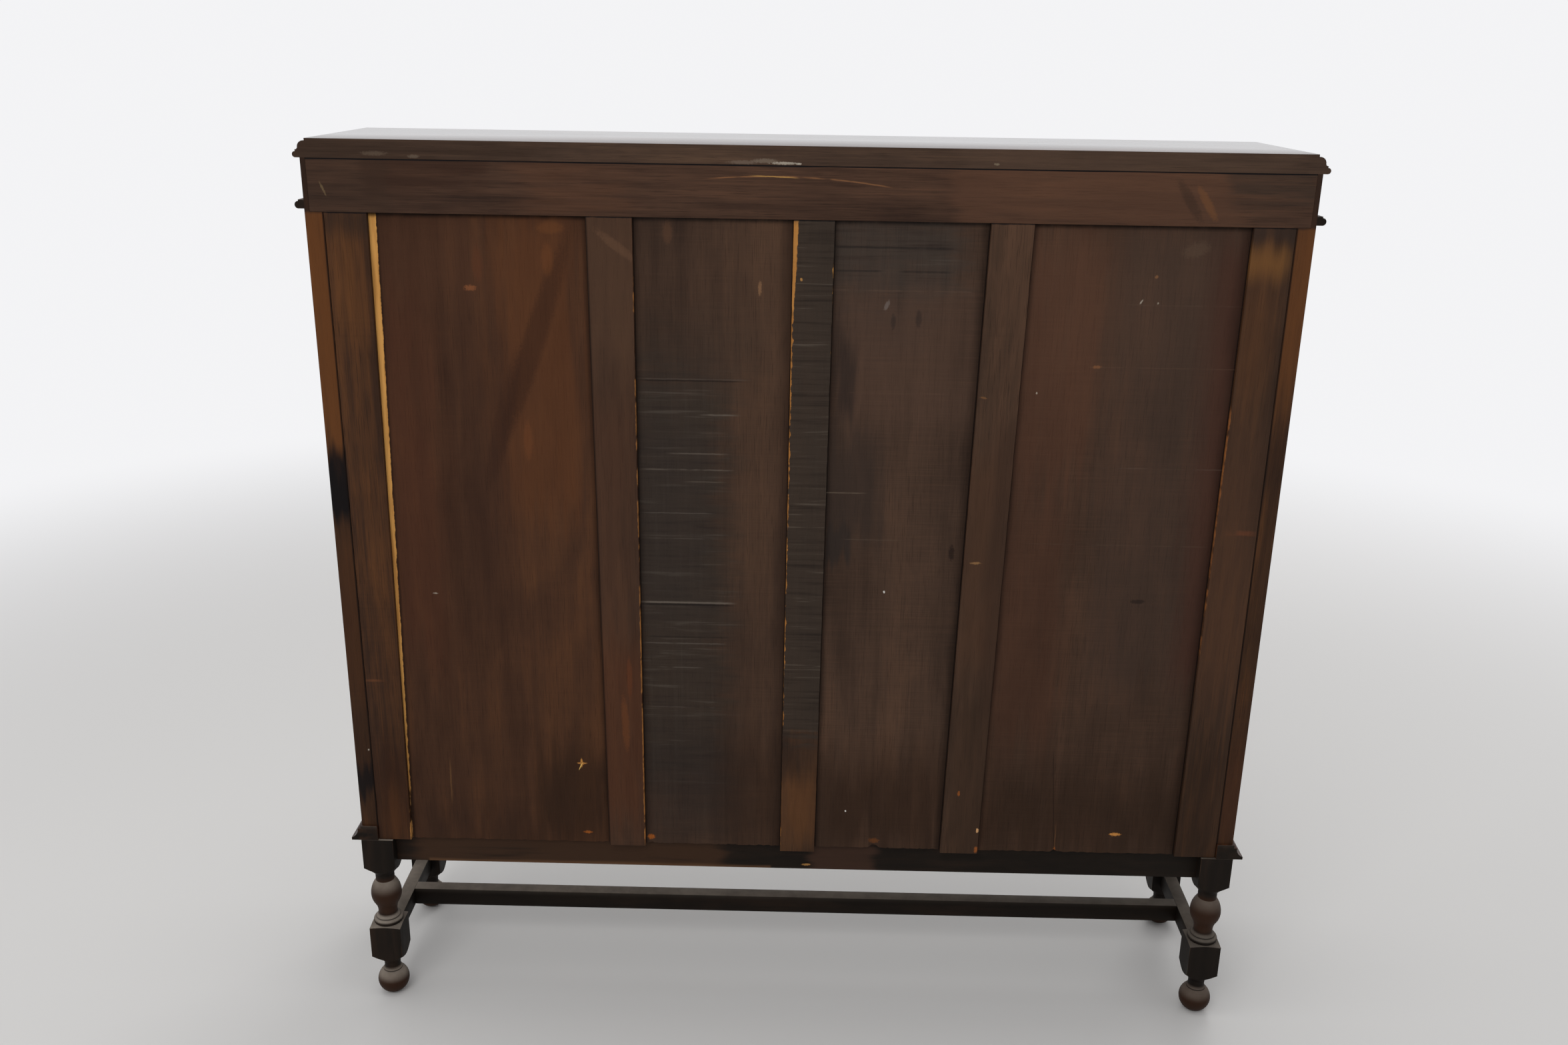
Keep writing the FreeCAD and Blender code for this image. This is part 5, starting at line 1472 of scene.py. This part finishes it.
@dataclass
class TurnedLegs:
    """Four legs turned between square blocks: ball foot, ring, collar, bulb and neck."""

    block: float = 0.0508
    height: float = 0.303
    spare: float = 0.01
    arris: float = 0.0008
    arris_facets: int = 3
    steps: int = 72
    fewest_lines: int = 5
    line_angle: float = 4.0
    smooth_angle: float = 32.0
    merge_distance: float = 0.00001
    # Radius and height of each step in millimetres, and the sag of its arc where it is round
    outline: tuple[tuple[float, ...], ...] = (
        (9.0, 0.0), (15.5, 43.41, 13.25), (14.1, 43.41), (14.1, 44.81), (15.5, 44.81), (13.2, 54.01, -1.0),
        (13.2, 59.5), (38.0, 82.0, -1.4), (38.0, 134.6), (22.3, 137.5), (19.4, 147.2, 3.0), (18.0, 147.2),
        (18.0, 148.6), (19.8, 148.6), (15.3, 154.9, -1.0), (15.3, 157.9), (20.0, 174.55, -1.197),
        (24.7, 191.2, 1.197), (15.2, 217.0, 2.45), (15.2, 229.5), (38.0, 252.0, -1.4), (38.0, 303.0),
    )
    nodes: tuple[str, ...] = ("front_left_leg", "front_right_leg", "rear_left_leg", "rear_right_leg")

    def profile(self) -> list[Pair]:
        """Radius and height along the turning, with each arc drawn in short lines.

        Returns:
            Points in metres, from the floor up.
        """
        points = [(self.outline[0][0], self.outline[0][1])]
        for step in self.outline[1:]:
            radius, level = points[-1]
            if len(step) == 2:
                points.append((step[0], step[1]))
                continue
            chord = math.hypot(step[0] - radius, step[1] - level)
            bend = abs(step[2])
            size = (chord * chord / 4 + bend * bend) / (2 * bend)
            half = math.asin(min(1.0, chord / 2 / size))
            half = math.pi - half if bend > size else half
            count = max(self.fewest_lines, int(half / math.radians(self.line_angle)))
            out = ((step[1] - level) / chord, -(step[0] - radius) / chord)
            for number in range(1, count + 1):
                turn = -half + 2 * half * number / count
                share = (math.sin(turn) / math.sin(half) + 1) / 2
                swell = (size * math.cos(turn) - (size - bend)) * math.copysign(1.0, step[2])
                points.append((radius + (step[0] - radius) * share + out[0] * swell,
                               level + (step[1] - level) * share + out[1] * swell))
        return [(r / 1000, z / 1000) for r, z in points]

    def build(self) -> list[bpy.types.Object]:
        """Turn one leg and copy it to the four corners.

        Returns:
            The four legs.
        """
        master = self.turn()
        around = (-1.0, 1.0)
        brown = tint(56, 35, 23)
        rubbed = (
            Patch(around, (-0.01, 0.047), brown, strength=0.75, soft=0.004, ragged=0.004),
            Patch(around, (0.156, 0.222), brown, strength=0.75, soft=0.006, ragged=0.004),
            # Dust and painted sheen on the faces that look up.
            DustAndSheen(),
            # Painted shade in the two knife-line grooves.
            Patch(around, (0.0434, 0.0449), BLACK_STAIN_AND_SHADE, strength=1.0, soft=0.0004, ragged=0.0),
            Patch(around, (0.1472, 0.1487), BLACK_STAIN_AND_SHADE, strength=1.0, soft=0.0004, ragged=0.0),
        )
        stain = Timber(STAND, Grain.Z, rubbed, "_leg").material
        made = []
        for node in self.nodes:
            low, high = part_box(node)
            Bench.take(master)
            bpy.ops.object.duplicate()
            leg = bpy.context.object
            leg.name = node + "_turned"
            leg.location = ((low.x + high.x) / 2, (low.y + high.y) / 2, 0.0)
            bpy.ops.object.transform_apply(location=True, rotation=True, scale=True)
            leg.data.name = leg.name
            leg.data.materials.append(stain)
            made.append(seat(leg, node))
        bpy.data.objects.remove(master)
        return made

    def turn(self) -> bpy.types.Object:
        """Spin the outline and keep what lies inside the square billet.

        Returns:
            A leg at the origin.
        """
        bpy.ops.object.select_all(action="DESELECT")
        bpy.ops.mesh.primitive_plane_add(size=0.01)
        leg = bpy.context.object
        bpy.context.tool_settings.mesh_select_mode = Pick.POINTS.value
        bpy.ops.object.mode_set(mode="EDIT")
        bpy.ops.mesh.select_all(action="SELECT")
        bpy.ops.mesh.merge(type="CENTER")
        here = Vector((0.0, 0.0, 0.0))
        for radius, level in self.profile() + [(0.0, self.height)]:
            there = Vector((radius, 0.0, level))
            bpy.ops.mesh.extrude_region_move(TRANSFORM_OT_translate={"value": there - here})
            here = there
        bpy.ops.mesh.select_all(action="SELECT")
        bpy.ops.mesh.spin(steps=self.steps, angle=math.tau, center=(0, 0, 0), axis=(0, 0, 1))
        bpy.ops.mesh.select_all(action="SELECT")
        bpy.ops.mesh.remove_doubles(threshold=self.merge_distance)
        bpy.ops.mesh.normals_make_consistent(inside=False)
        bpy.ops.object.mode_set(mode="OBJECT")
        half = self.block / 2
        low, high = Vector((-half, -half, -self.spare)), Vector((half, half, self.height + self.spare))
        billet = Bench.board("billet", low, high)
        Bench.take(leg)
        cut = leg.modifiers.new("square", "BOOLEAN")
        cut.operation = "INTERSECT"
        cut.solver = "EXACT"
        cut.object = billet
        bpy.ops.object.modifier_apply(modifier=cut.name)
        bpy.data.objects.remove(billet)
        self.ease_blocks(leg)
        return leg

    def ease_blocks(self, leg: bpy.types.Object) -> None:
        """Round the upright arrises of the blocks and note them as worn.

        Args:
            leg: Leg at the origin.
        """
        half = self.block / 2 - 2 * self.merge_distance

        def on_corner(point: Vector) -> bool:
            """Whether a point lies on an upright arris of the billet."""
            return abs(point.x) > half and abs(point.y) > half

        Bench.pick_edges(leg, lambda a, b: on_corner(a) and on_corner(b))
        bpy.ops.mesh.bevel(offset=self.arris, segments=self.arris_facets, profile=0.5, clamp_overlap=False)
        bpy.ops.object.mode_set(mode="OBJECT")
        Bench.note_wear(leg, self.arris)
        Bench.smooth(leg, self.smooth_angle)


@dataclass
class Joinery:
    """Boards and mouldings whose CAD form is right: eased at their arrises, with grain along each length."""

    arris: float = 0.0008
    door_arris: float = 0.0004
    back_facing: float = 0.9
    finishes: dict[str, Stain] = field(default_factory=lambda: {
        "polished_wood": TOP, "front_wood": FRONT, "post_wood": POST, "side_panel_wood": FRONT,
        "inside_wood": INSIDE, "back_frame_wood": RAIL, "stand_wood": STAND,
    })
    upright: tuple[str, ...] = ("glazing_bars", "partition", "panel")
    eased: tuple[str, ...] = (
        "top_board", "left_rear_post", "right_rear_post", "left_front_post", "right_front_post", "side_rails",
        "left_side_panel", "right_side_panel", "frieze_rail", "bottom_board", "left_partition",
        "right_partition", "outer_shelves", "centre_shelves", "shelf_bearers", "back_rail", "string_moulding",
        "base_moulding", "front_apron", "rear_apron", "side_aprons", "side_stretchers", "long_stretcher",
        "left_door_frame", "centre_door_frame", "right_door_frame", "left_door_glazing_bars",
        "centre_door_glazing_bars", "right_door_glazing_bars",
    )
    cache: dict[tuple[str, Grain], bpy.types.Material] = field(default_factory=dict)

    def back_rail(self) -> tuple[Mark, ...]:
        """Back rail: cloudy brown with a long scratch, and a painted shade line under the top.

        Returns:
            Its marks of use.
        """
        return (
            Patch((0.26, 0.40), (1.29, 1.38), tint(86, 57, 40), strength=0.45, soft=0.05, ragged=0.12),
            Patch((0.44, 0.62), (1.335, 1.39), tint(52, 34, 25), strength=0.6, soft=0.02),
            Patch((-0.60, -0.20), (1.29, 1.39), tint(86, 59, 44), strength=0.6, ragged=0.09),
            Patch((-0.70, -0.575), (1.34, 1.39), tint(54, 44, 37), strength=0.6, soft=0.02),
            Patch((0.58, 0.72), (1.29, 1.39), tint(54, 40, 31), strength=0.4, soft=0.02, ragged=0.05),
            Hairline((-0.108, 0.135), 1.3586, tint(134, 92, 60), width=0.0014, strength=0.60, gaps=0.46,
                    bow=0.5, tilt=0.03),
            Hairline((0.02, 0.075), 1.3588, tint(176, 136, 74), width=0.0010, strength=0.75, gaps=0.42,
                    bow=0.5, tilt=0.03),
            Fleck(-0.548, 1.332, 0.0080, 0.0260, tint(116, 76, 46), strength=0.45, slope=0.6, crumble=1.4),
            Fleck(-0.524, 1.335, 0.0100, 0.0320, tint(50, 38, 31), strength=0.45, slope=0.6, crumble=1.4),
            Fleck(0.672, 1.333, 0.0020, 0.0110, tint(110, 92, 66), strength=0.6, slope=0.4),
            # Painted shade line under the top.
            Patch((-0.75, 0.75), (1.3722, 1.39), BLACK_STAIN_AND_SHADE, strength=1.0, soft=0.0006, ragged=0.0012),
        )

    def right_post(self) -> tuple[Mark, ...]:
        """Right rear post: orange above, with two dark places.

        Returns:
            Its marks of use.
        """
        return (
            Patch((0.66, 0.72), (0.955, 1.32), tint(100, 60, 30), strength=0.75, soft=0.04),
            Patch((0.60, 0.80), (1.300, 1.40), tint(44, 31, 24), strength=1.0, soft=0.003, ragged=0.002),
            Patch((0.66, 0.72), (0.855, 0.955), BLACK_STAIN_AND_SHADE, strength=0.95, soft=0.02, ragged=0.05),
            Patch((0.66, 0.72), (0.395, 0.440), BLACK_STAIN_AND_SHADE, strength=0.85, soft=0.015, ragged=0.05),
            Patch((0.66, 0.72), (0.56, 0.82), tint(72, 44, 26), strength=0.5, soft=0.05),
            EdgeShade((0.674, 1.301), (0.6741, 0.304), Side.HIGHER_X, width=0.003, strength=0.85),
            Spot(0.6783, 0.4654, 0.0016, 0.0020, DUST, strength=0.8),
        )

    def left_post(self) -> tuple[Mark, ...]:
        """Left rear post: orange above, brown at the foot.

        Returns:
            Its marks of use.
        """
        return (
            Patch((-0.72, -0.66), (1.05, 1.33), tint(98, 60, 32), soft=0.06),
            Patch((-0.80, -0.60), (1.300, 1.40), tint(48, 34, 27), strength=1.0, soft=0.003, ragged=0.002),
            Patch((-0.72, -0.66), (0.92, 1.02), tint(40, 27, 21), strength=0.6, soft=0.04),
            Patch((-0.72, -0.66), (0.34, 0.50), tint(70, 42, 27), strength=0.5, soft=0.05),
            EdgeShade((-0.674, 1.301), (-0.6741, 0.304), Side.LOWER_X, width=0.003, strength=0.85),
        )

    def apron(self) -> tuple[Mark, ...]:
        """Rear apron: rubbed brown, with a lighter lower edge that is partly worn and partly painted
        highlight.

        Returns:
            Its marks of use.
        """
        return (
            Patch((0.12, 0.70), (0.24, 0.34), tint(66, 45, 31), strength=0.75, ragged=0.10),
            Patch((-0.13, -0.02), (0.24, 0.34), tint(72, 50, 39), strength=0.6, soft=0.02),
            Patch((0.62, 0.70), (0.24, 0.34), tint(22, 18, 15), strength=0.8, ragged=0.04),
            # Lighter band along the lower arris: worn wood and painted highlight.
            Patch((0.04, 0.60), (0.240, 0.2605), tint(104, 74, 50), strength=0.60, soft=0.0030,
                  ragged=0.004),
            Fleck(-0.018, 0.2640, 0.0080, 0.0022, tint(170, 124, 70), strength=0.8),
        )

    def marks(self, node: str) -> tuple[Mark, ...]:
        """Marks of use on one piece, and dust with painted sheen on the stand.

        Args:
            node: CAD node.

        Returns:
            The marks, in the order in which they are laid on.
        """
        used = {
            "back_rail": self.back_rail, "right_rear_post": self.right_post, "left_rear_post": self.left_post,
            "rear_apron": self.apron,
        }
        found = used[node]() if node in used else ()
        return found + ((DustAndSheen(),) if SLOTS[node] == "stand_wood" else ())

    def stain_for(self, node: str, grain: Grain) -> bpy.types.Material:
        """Material of a piece whose fibres run along one axis.

        Args:
            node: CAD node.
            grain: Axis of the fibres.

        Returns:
            The material, which pieces without marks of their own share.
        """
        stain, marks = self.finishes[SLOTS[node]], self.marks(node)
        own = len(marks) > 1
        key = (node if own else stain.name, grain)
        if key not in self.cache:
            self.cache[key] = Timber(stain, grain, marks, "_" + node if own else "").material
        return self.cache[key]

    def build(self) -> list[bpy.types.Object]:
        """Ease and dress the pieces.

        Returns:
            The finished pieces.
        """
        return [seat(self.ease(node), node) for node in self.eased]

    def ease(self, node: str) -> bpy.types.Object:
        """Part a node into its lengths, stain each along its own grain and join them again.

        Args:
            node: CAD node.

        Returns:
            The eased piece.
        """
        lengths = Bench.part(Bench.copy_of(node, node + "_eased"))
        for length in lengths:
            size = length.dimensions
            longest = max(range(3), key=lambda axis: size[axis])
            if node.endswith(self.upright):
                longest = Grain.Z.value
            length.data.materials.clear()
            length.data.materials.append(self.stain_for(node, Grain(longest)))
            Bench.ease_arrises(length, self.door_arris if node.endswith("_door_frame") else self.arris)
            if node == "top_board":
                self.saw_back_edge(length)
            elif node.endswith("_moulding"):
                self.face_back(length, self.stain_for("rear_apron", Grain.Y))
        Bench.take(lengths[0])
        for length in lengths:
            length.select_set(True)
        if len(lengths) > 1:
            bpy.ops.object.join()
        joined = bpy.context.object
        joined.name = node + "_eased"
        joined.data.name = joined.name
        return joined

    def saw_back_edge(self, top: bpy.types.Object) -> None:
        """Leave the top's back edge sawn and unpolished, with pale scuffs.

        Args:
            top: Top board.
        """
        scuffs = (
            Patch((0.38, 0.72), (1.36, 1.41), tint(50, 36, 27), strength=0.55, ragged=0.08),
            Patch((-0.66, -0.20), (1.36, 1.41), tint(80, 62, 50), strength=0.5, ragged=0.09),
            Fleck(0.0900, 1.3772, 0.0240, 0.0030, tint(116, 102, 90), strength=0.45),
            Fleck(0.0600, 1.3795, 0.0200, 0.0034, tint(128, 116, 102), strength=0.42),
            Fleck(0.0340, 1.3768, 0.0200, 0.0022, DUST, strength=0.65),
            Fleck(0.0140, 1.3762, 0.0040, 0.0014, DUST),
            Fleck(0.5973, 1.3811, 0.0200, 0.0036, tint(98, 84, 70), strength=0.45),
            Fleck(0.5426, 1.3778, 0.0090, 0.0026, tint(106, 92, 78), strength=0.5),
            Fleck(-0.2560, 1.3800, 0.0040, 0.0020, tint(130, 116, 96), strength=0.6),
        )
        self.face_back(top, Timber(BACK_EDGE, Grain.X, scuffs).material)

    def face_back(self, piece: bpy.types.Object, finish: bpy.types.Material) -> None:
        """Give the faces of a piece that look straight back a finish of their own.

        Args:
            piece: Piece with one material.
            finish: Material of the back faces.
        """
        piece.data.materials.append(finish)
        for face in piece.data.polygons:
            if face.normal.y > self.back_facing:
                face.material_index = 1


@dataclass
class Ironwork:
    """Hinges, locks, keys and glass: CAD forms with old metal and sheet glass."""

    brass: Metal = BRASS
    steel: Metal = STEEL
    glass: SheetGlass = SheetGlass()

    def build(self) -> list[bpy.types.Object]:
        """Dress the nodes.

        Returns:
            The dressed nodes.
        """
        looks = {
            "brass": self.brass.material(), "steel": self.steel.material(), "glass": self.glass.material(),
        }
        made = []
        for node, piece in frame["nodes"].items():
            if SLOTS[node] in looks:
                piece.data.materials.clear()
                piece.data.materials.append(looks[SLOTS[node]])
                made.append(piece)
        return made


@dataclass(frozen=True)
class Lamp:
    """Soft rectangular lamp that faces a point and doesn't show in gloss."""

    name: str
    place: Triple
    aim: Triple
    size: Pair
    power: float

    def hang(self) -> None:
        """Add the lamp to the scene."""
        data = bpy.data.lights.new(self.name, "AREA")
        data.shape = "RECTANGLE"
        data.size, data.size_y = self.size
        data.energy = self.power
        lamp = bpy.data.objects.new(self.name, data)
        lamp.location = self.place
        lamp.visible_glossy = False
        lamp.rotation_euler = (Vector(self.aim) - Vector(self.place)).to_track_quat("-Z", "Y").to_euler()
        bpy.context.scene.collection.objects.link(lamp)


@dataclass
class Studio:
    """Camera at the photograph's place, a pale floor that runs out into a pale ground, and soft light."""

    camera_place: Triple = (0.00186, 2.1118, 1.5178)
    pitch: float = 18.65
    yaw: float = 0.73
    roll: float = -0.89
    focal_pixels: float = 2080.75
    image_width: int = 2352
    sensor_width: float = 36.0
    ground: Colour = (0.90, 0.90, 0.915, 1.0)
    floor_colour: Colour = (0.70, 0.69, 0.675, 1.0)
    floor_radius: float = 40.0
    floor_sides: int = 96
    floor_level: float = -0.0005
    fade: Pair = (1.2, 16.0)
    sky: float = 0.59
    card: float = 0.85
    card_front: Pair = (0.1, -0.4)
    card_above: Pair = (0.35, 0.8)
    dusk: float = 0.22
    lamps: tuple[Lamp, ...] = (
        Lamp("overhead", (0.2, -0.3, 3.6), (0.0, 0.0, 0.6), (3.2, 2.0), 34.0),
        Lamp("behind_camera", (1.2, 3.4, 3.6), (0.0, 0.15, 1.0), (2.4, 1.8), 54.0),
        Lamp("front", (-1.8, -4.0, 3.0), (0.0, -0.1, 0.8), (2.4, 1.8), 44.0),
    )

    def build(self) -> list[bpy.types.Object]:
        """Set up the studio.

        Returns:
            The floor.
        """
        self.camera()
        for lamp in self.lamps:
            lamp.hang()
        self.world()
        return [self.floor()]

    def camera(self) -> None:
        """Place the camera."""
        data = bpy.data.cameras.new("camera")
        data.sensor_width = self.sensor_width
        data.sensor_fit = "HORIZONTAL"
        data.lens = self.focal_pixels / self.image_width * self.sensor_width
        camera = bpy.data.objects.new("camera", data)
        bpy.context.scene.collection.objects.link(camera)
        turn = Matrix.Rotation(math.pi, 4, "Z") @ Matrix.Rotation(math.radians(self.yaw), 4, "Z")
        turn = turn @ Matrix.Rotation(math.radians(-self.pitch), 4, "X")
        turn = turn @ Matrix.Rotation(math.radians(self.roll), 4, "Y") @ Matrix.Rotation(math.pi / 2, 4, "X")
        camera.matrix_world = Matrix.Translation(self.camera_place) @ turn
        bpy.context.scene.camera = camera
        bpy.context.scene.view_settings.view_transform = "Standard"

    def world(self) -> None:
        """Pale ground for the eye, for gloss and for glass, and dimmer sky light for everything else."""
        world = bpy.data.worlds.new("studio")
        bpy.context.scene.world = world
        shader = Shader(world)
        path = shader.node("LightPath")
        seen = Value(shader, path.outputs["Is Camera Ray"])
        clear = seen.high(Value(shader, path.outputs["Is Transmission Ray"]))
        gloss = Value(shader, path.outputs["Is Glossy Ray"])
        aim = shader.node("SeparateXYZ", None, {0: shader.node("TexCoord").outputs["Generated"]})
        front = Value(shader, aim.outputs[1]).rise(*self.card_front)
        above = Value(shader, aim.outputs[2]).rise(*self.card_above)
        mirrored = front.high(above) * (self.card - self.dusk) + self.dusk
        strength = clear + (1.0 - clear) * (gloss * mirrored + (1.0 - gloss) * self.sky)
        back = shader.node("Background", None, {"Color": self.ground, "Strength": strength})
        shader.node("OutputWorld", None, {0: back.outputs[0]})

    def floor(self) -> bpy.types.Object:
        """Lay the floor, which fades into the ground far from the cabinet.

        Returns:
            The floor.
        """
        bpy.ops.object.select_all(action="DESELECT")
        bpy.ops.mesh.primitive_circle_add(vertices=self.floor_sides, radius=self.floor_radius,
                                          fill_type="NGON", location=(0, 0, self.floor_level))
        floor = bpy.context.object
        floor.name = "floor"
        bpy.ops.object.transform_apply(location=True, rotation=True, scale=True)
        material = bpy.data.materials.new("pale_floor")
        shader = Shader(material)
        shader.place()
        far = (shader.x * shader.x + shader.y * shader.y).rise(*self.fade)
        matt = shader.node("BsdfDiffuse", None, {"Color": self.floor_colour})
        glow = shader.node("Emission", None, {"Color": self.ground, "Strength": 1.0})
        mixed = shader.node("MixShader", None, {0: far, 1: matt.outputs[0], 2: glow.outputs[0]})
        shader.node("OutputMaterial", None, {0: mixed.outputs[0]})
        floor.data.materials.append(material)
        return floor


def main() -> None:
    """Build the studio and the dressed cabinet, piece by piece."""
    logging.basicConfig(level=logging.INFO, format="%(message)s")
    bpy.ops.object.select_all(action="DESELECT")
    for maker in (Studio(), BackPanels(), BackStrips(), TurnedLegs(), Joinery(), Ironwork()):
        for piece in maker.build():
            LOG.info("%s: %s, %d faces", type(maker).__name__, piece.name, len(piece.data.polygons))
    bpy.ops.object.select_all(action="DESELECT")


if __name__ == "__main__":
    main()
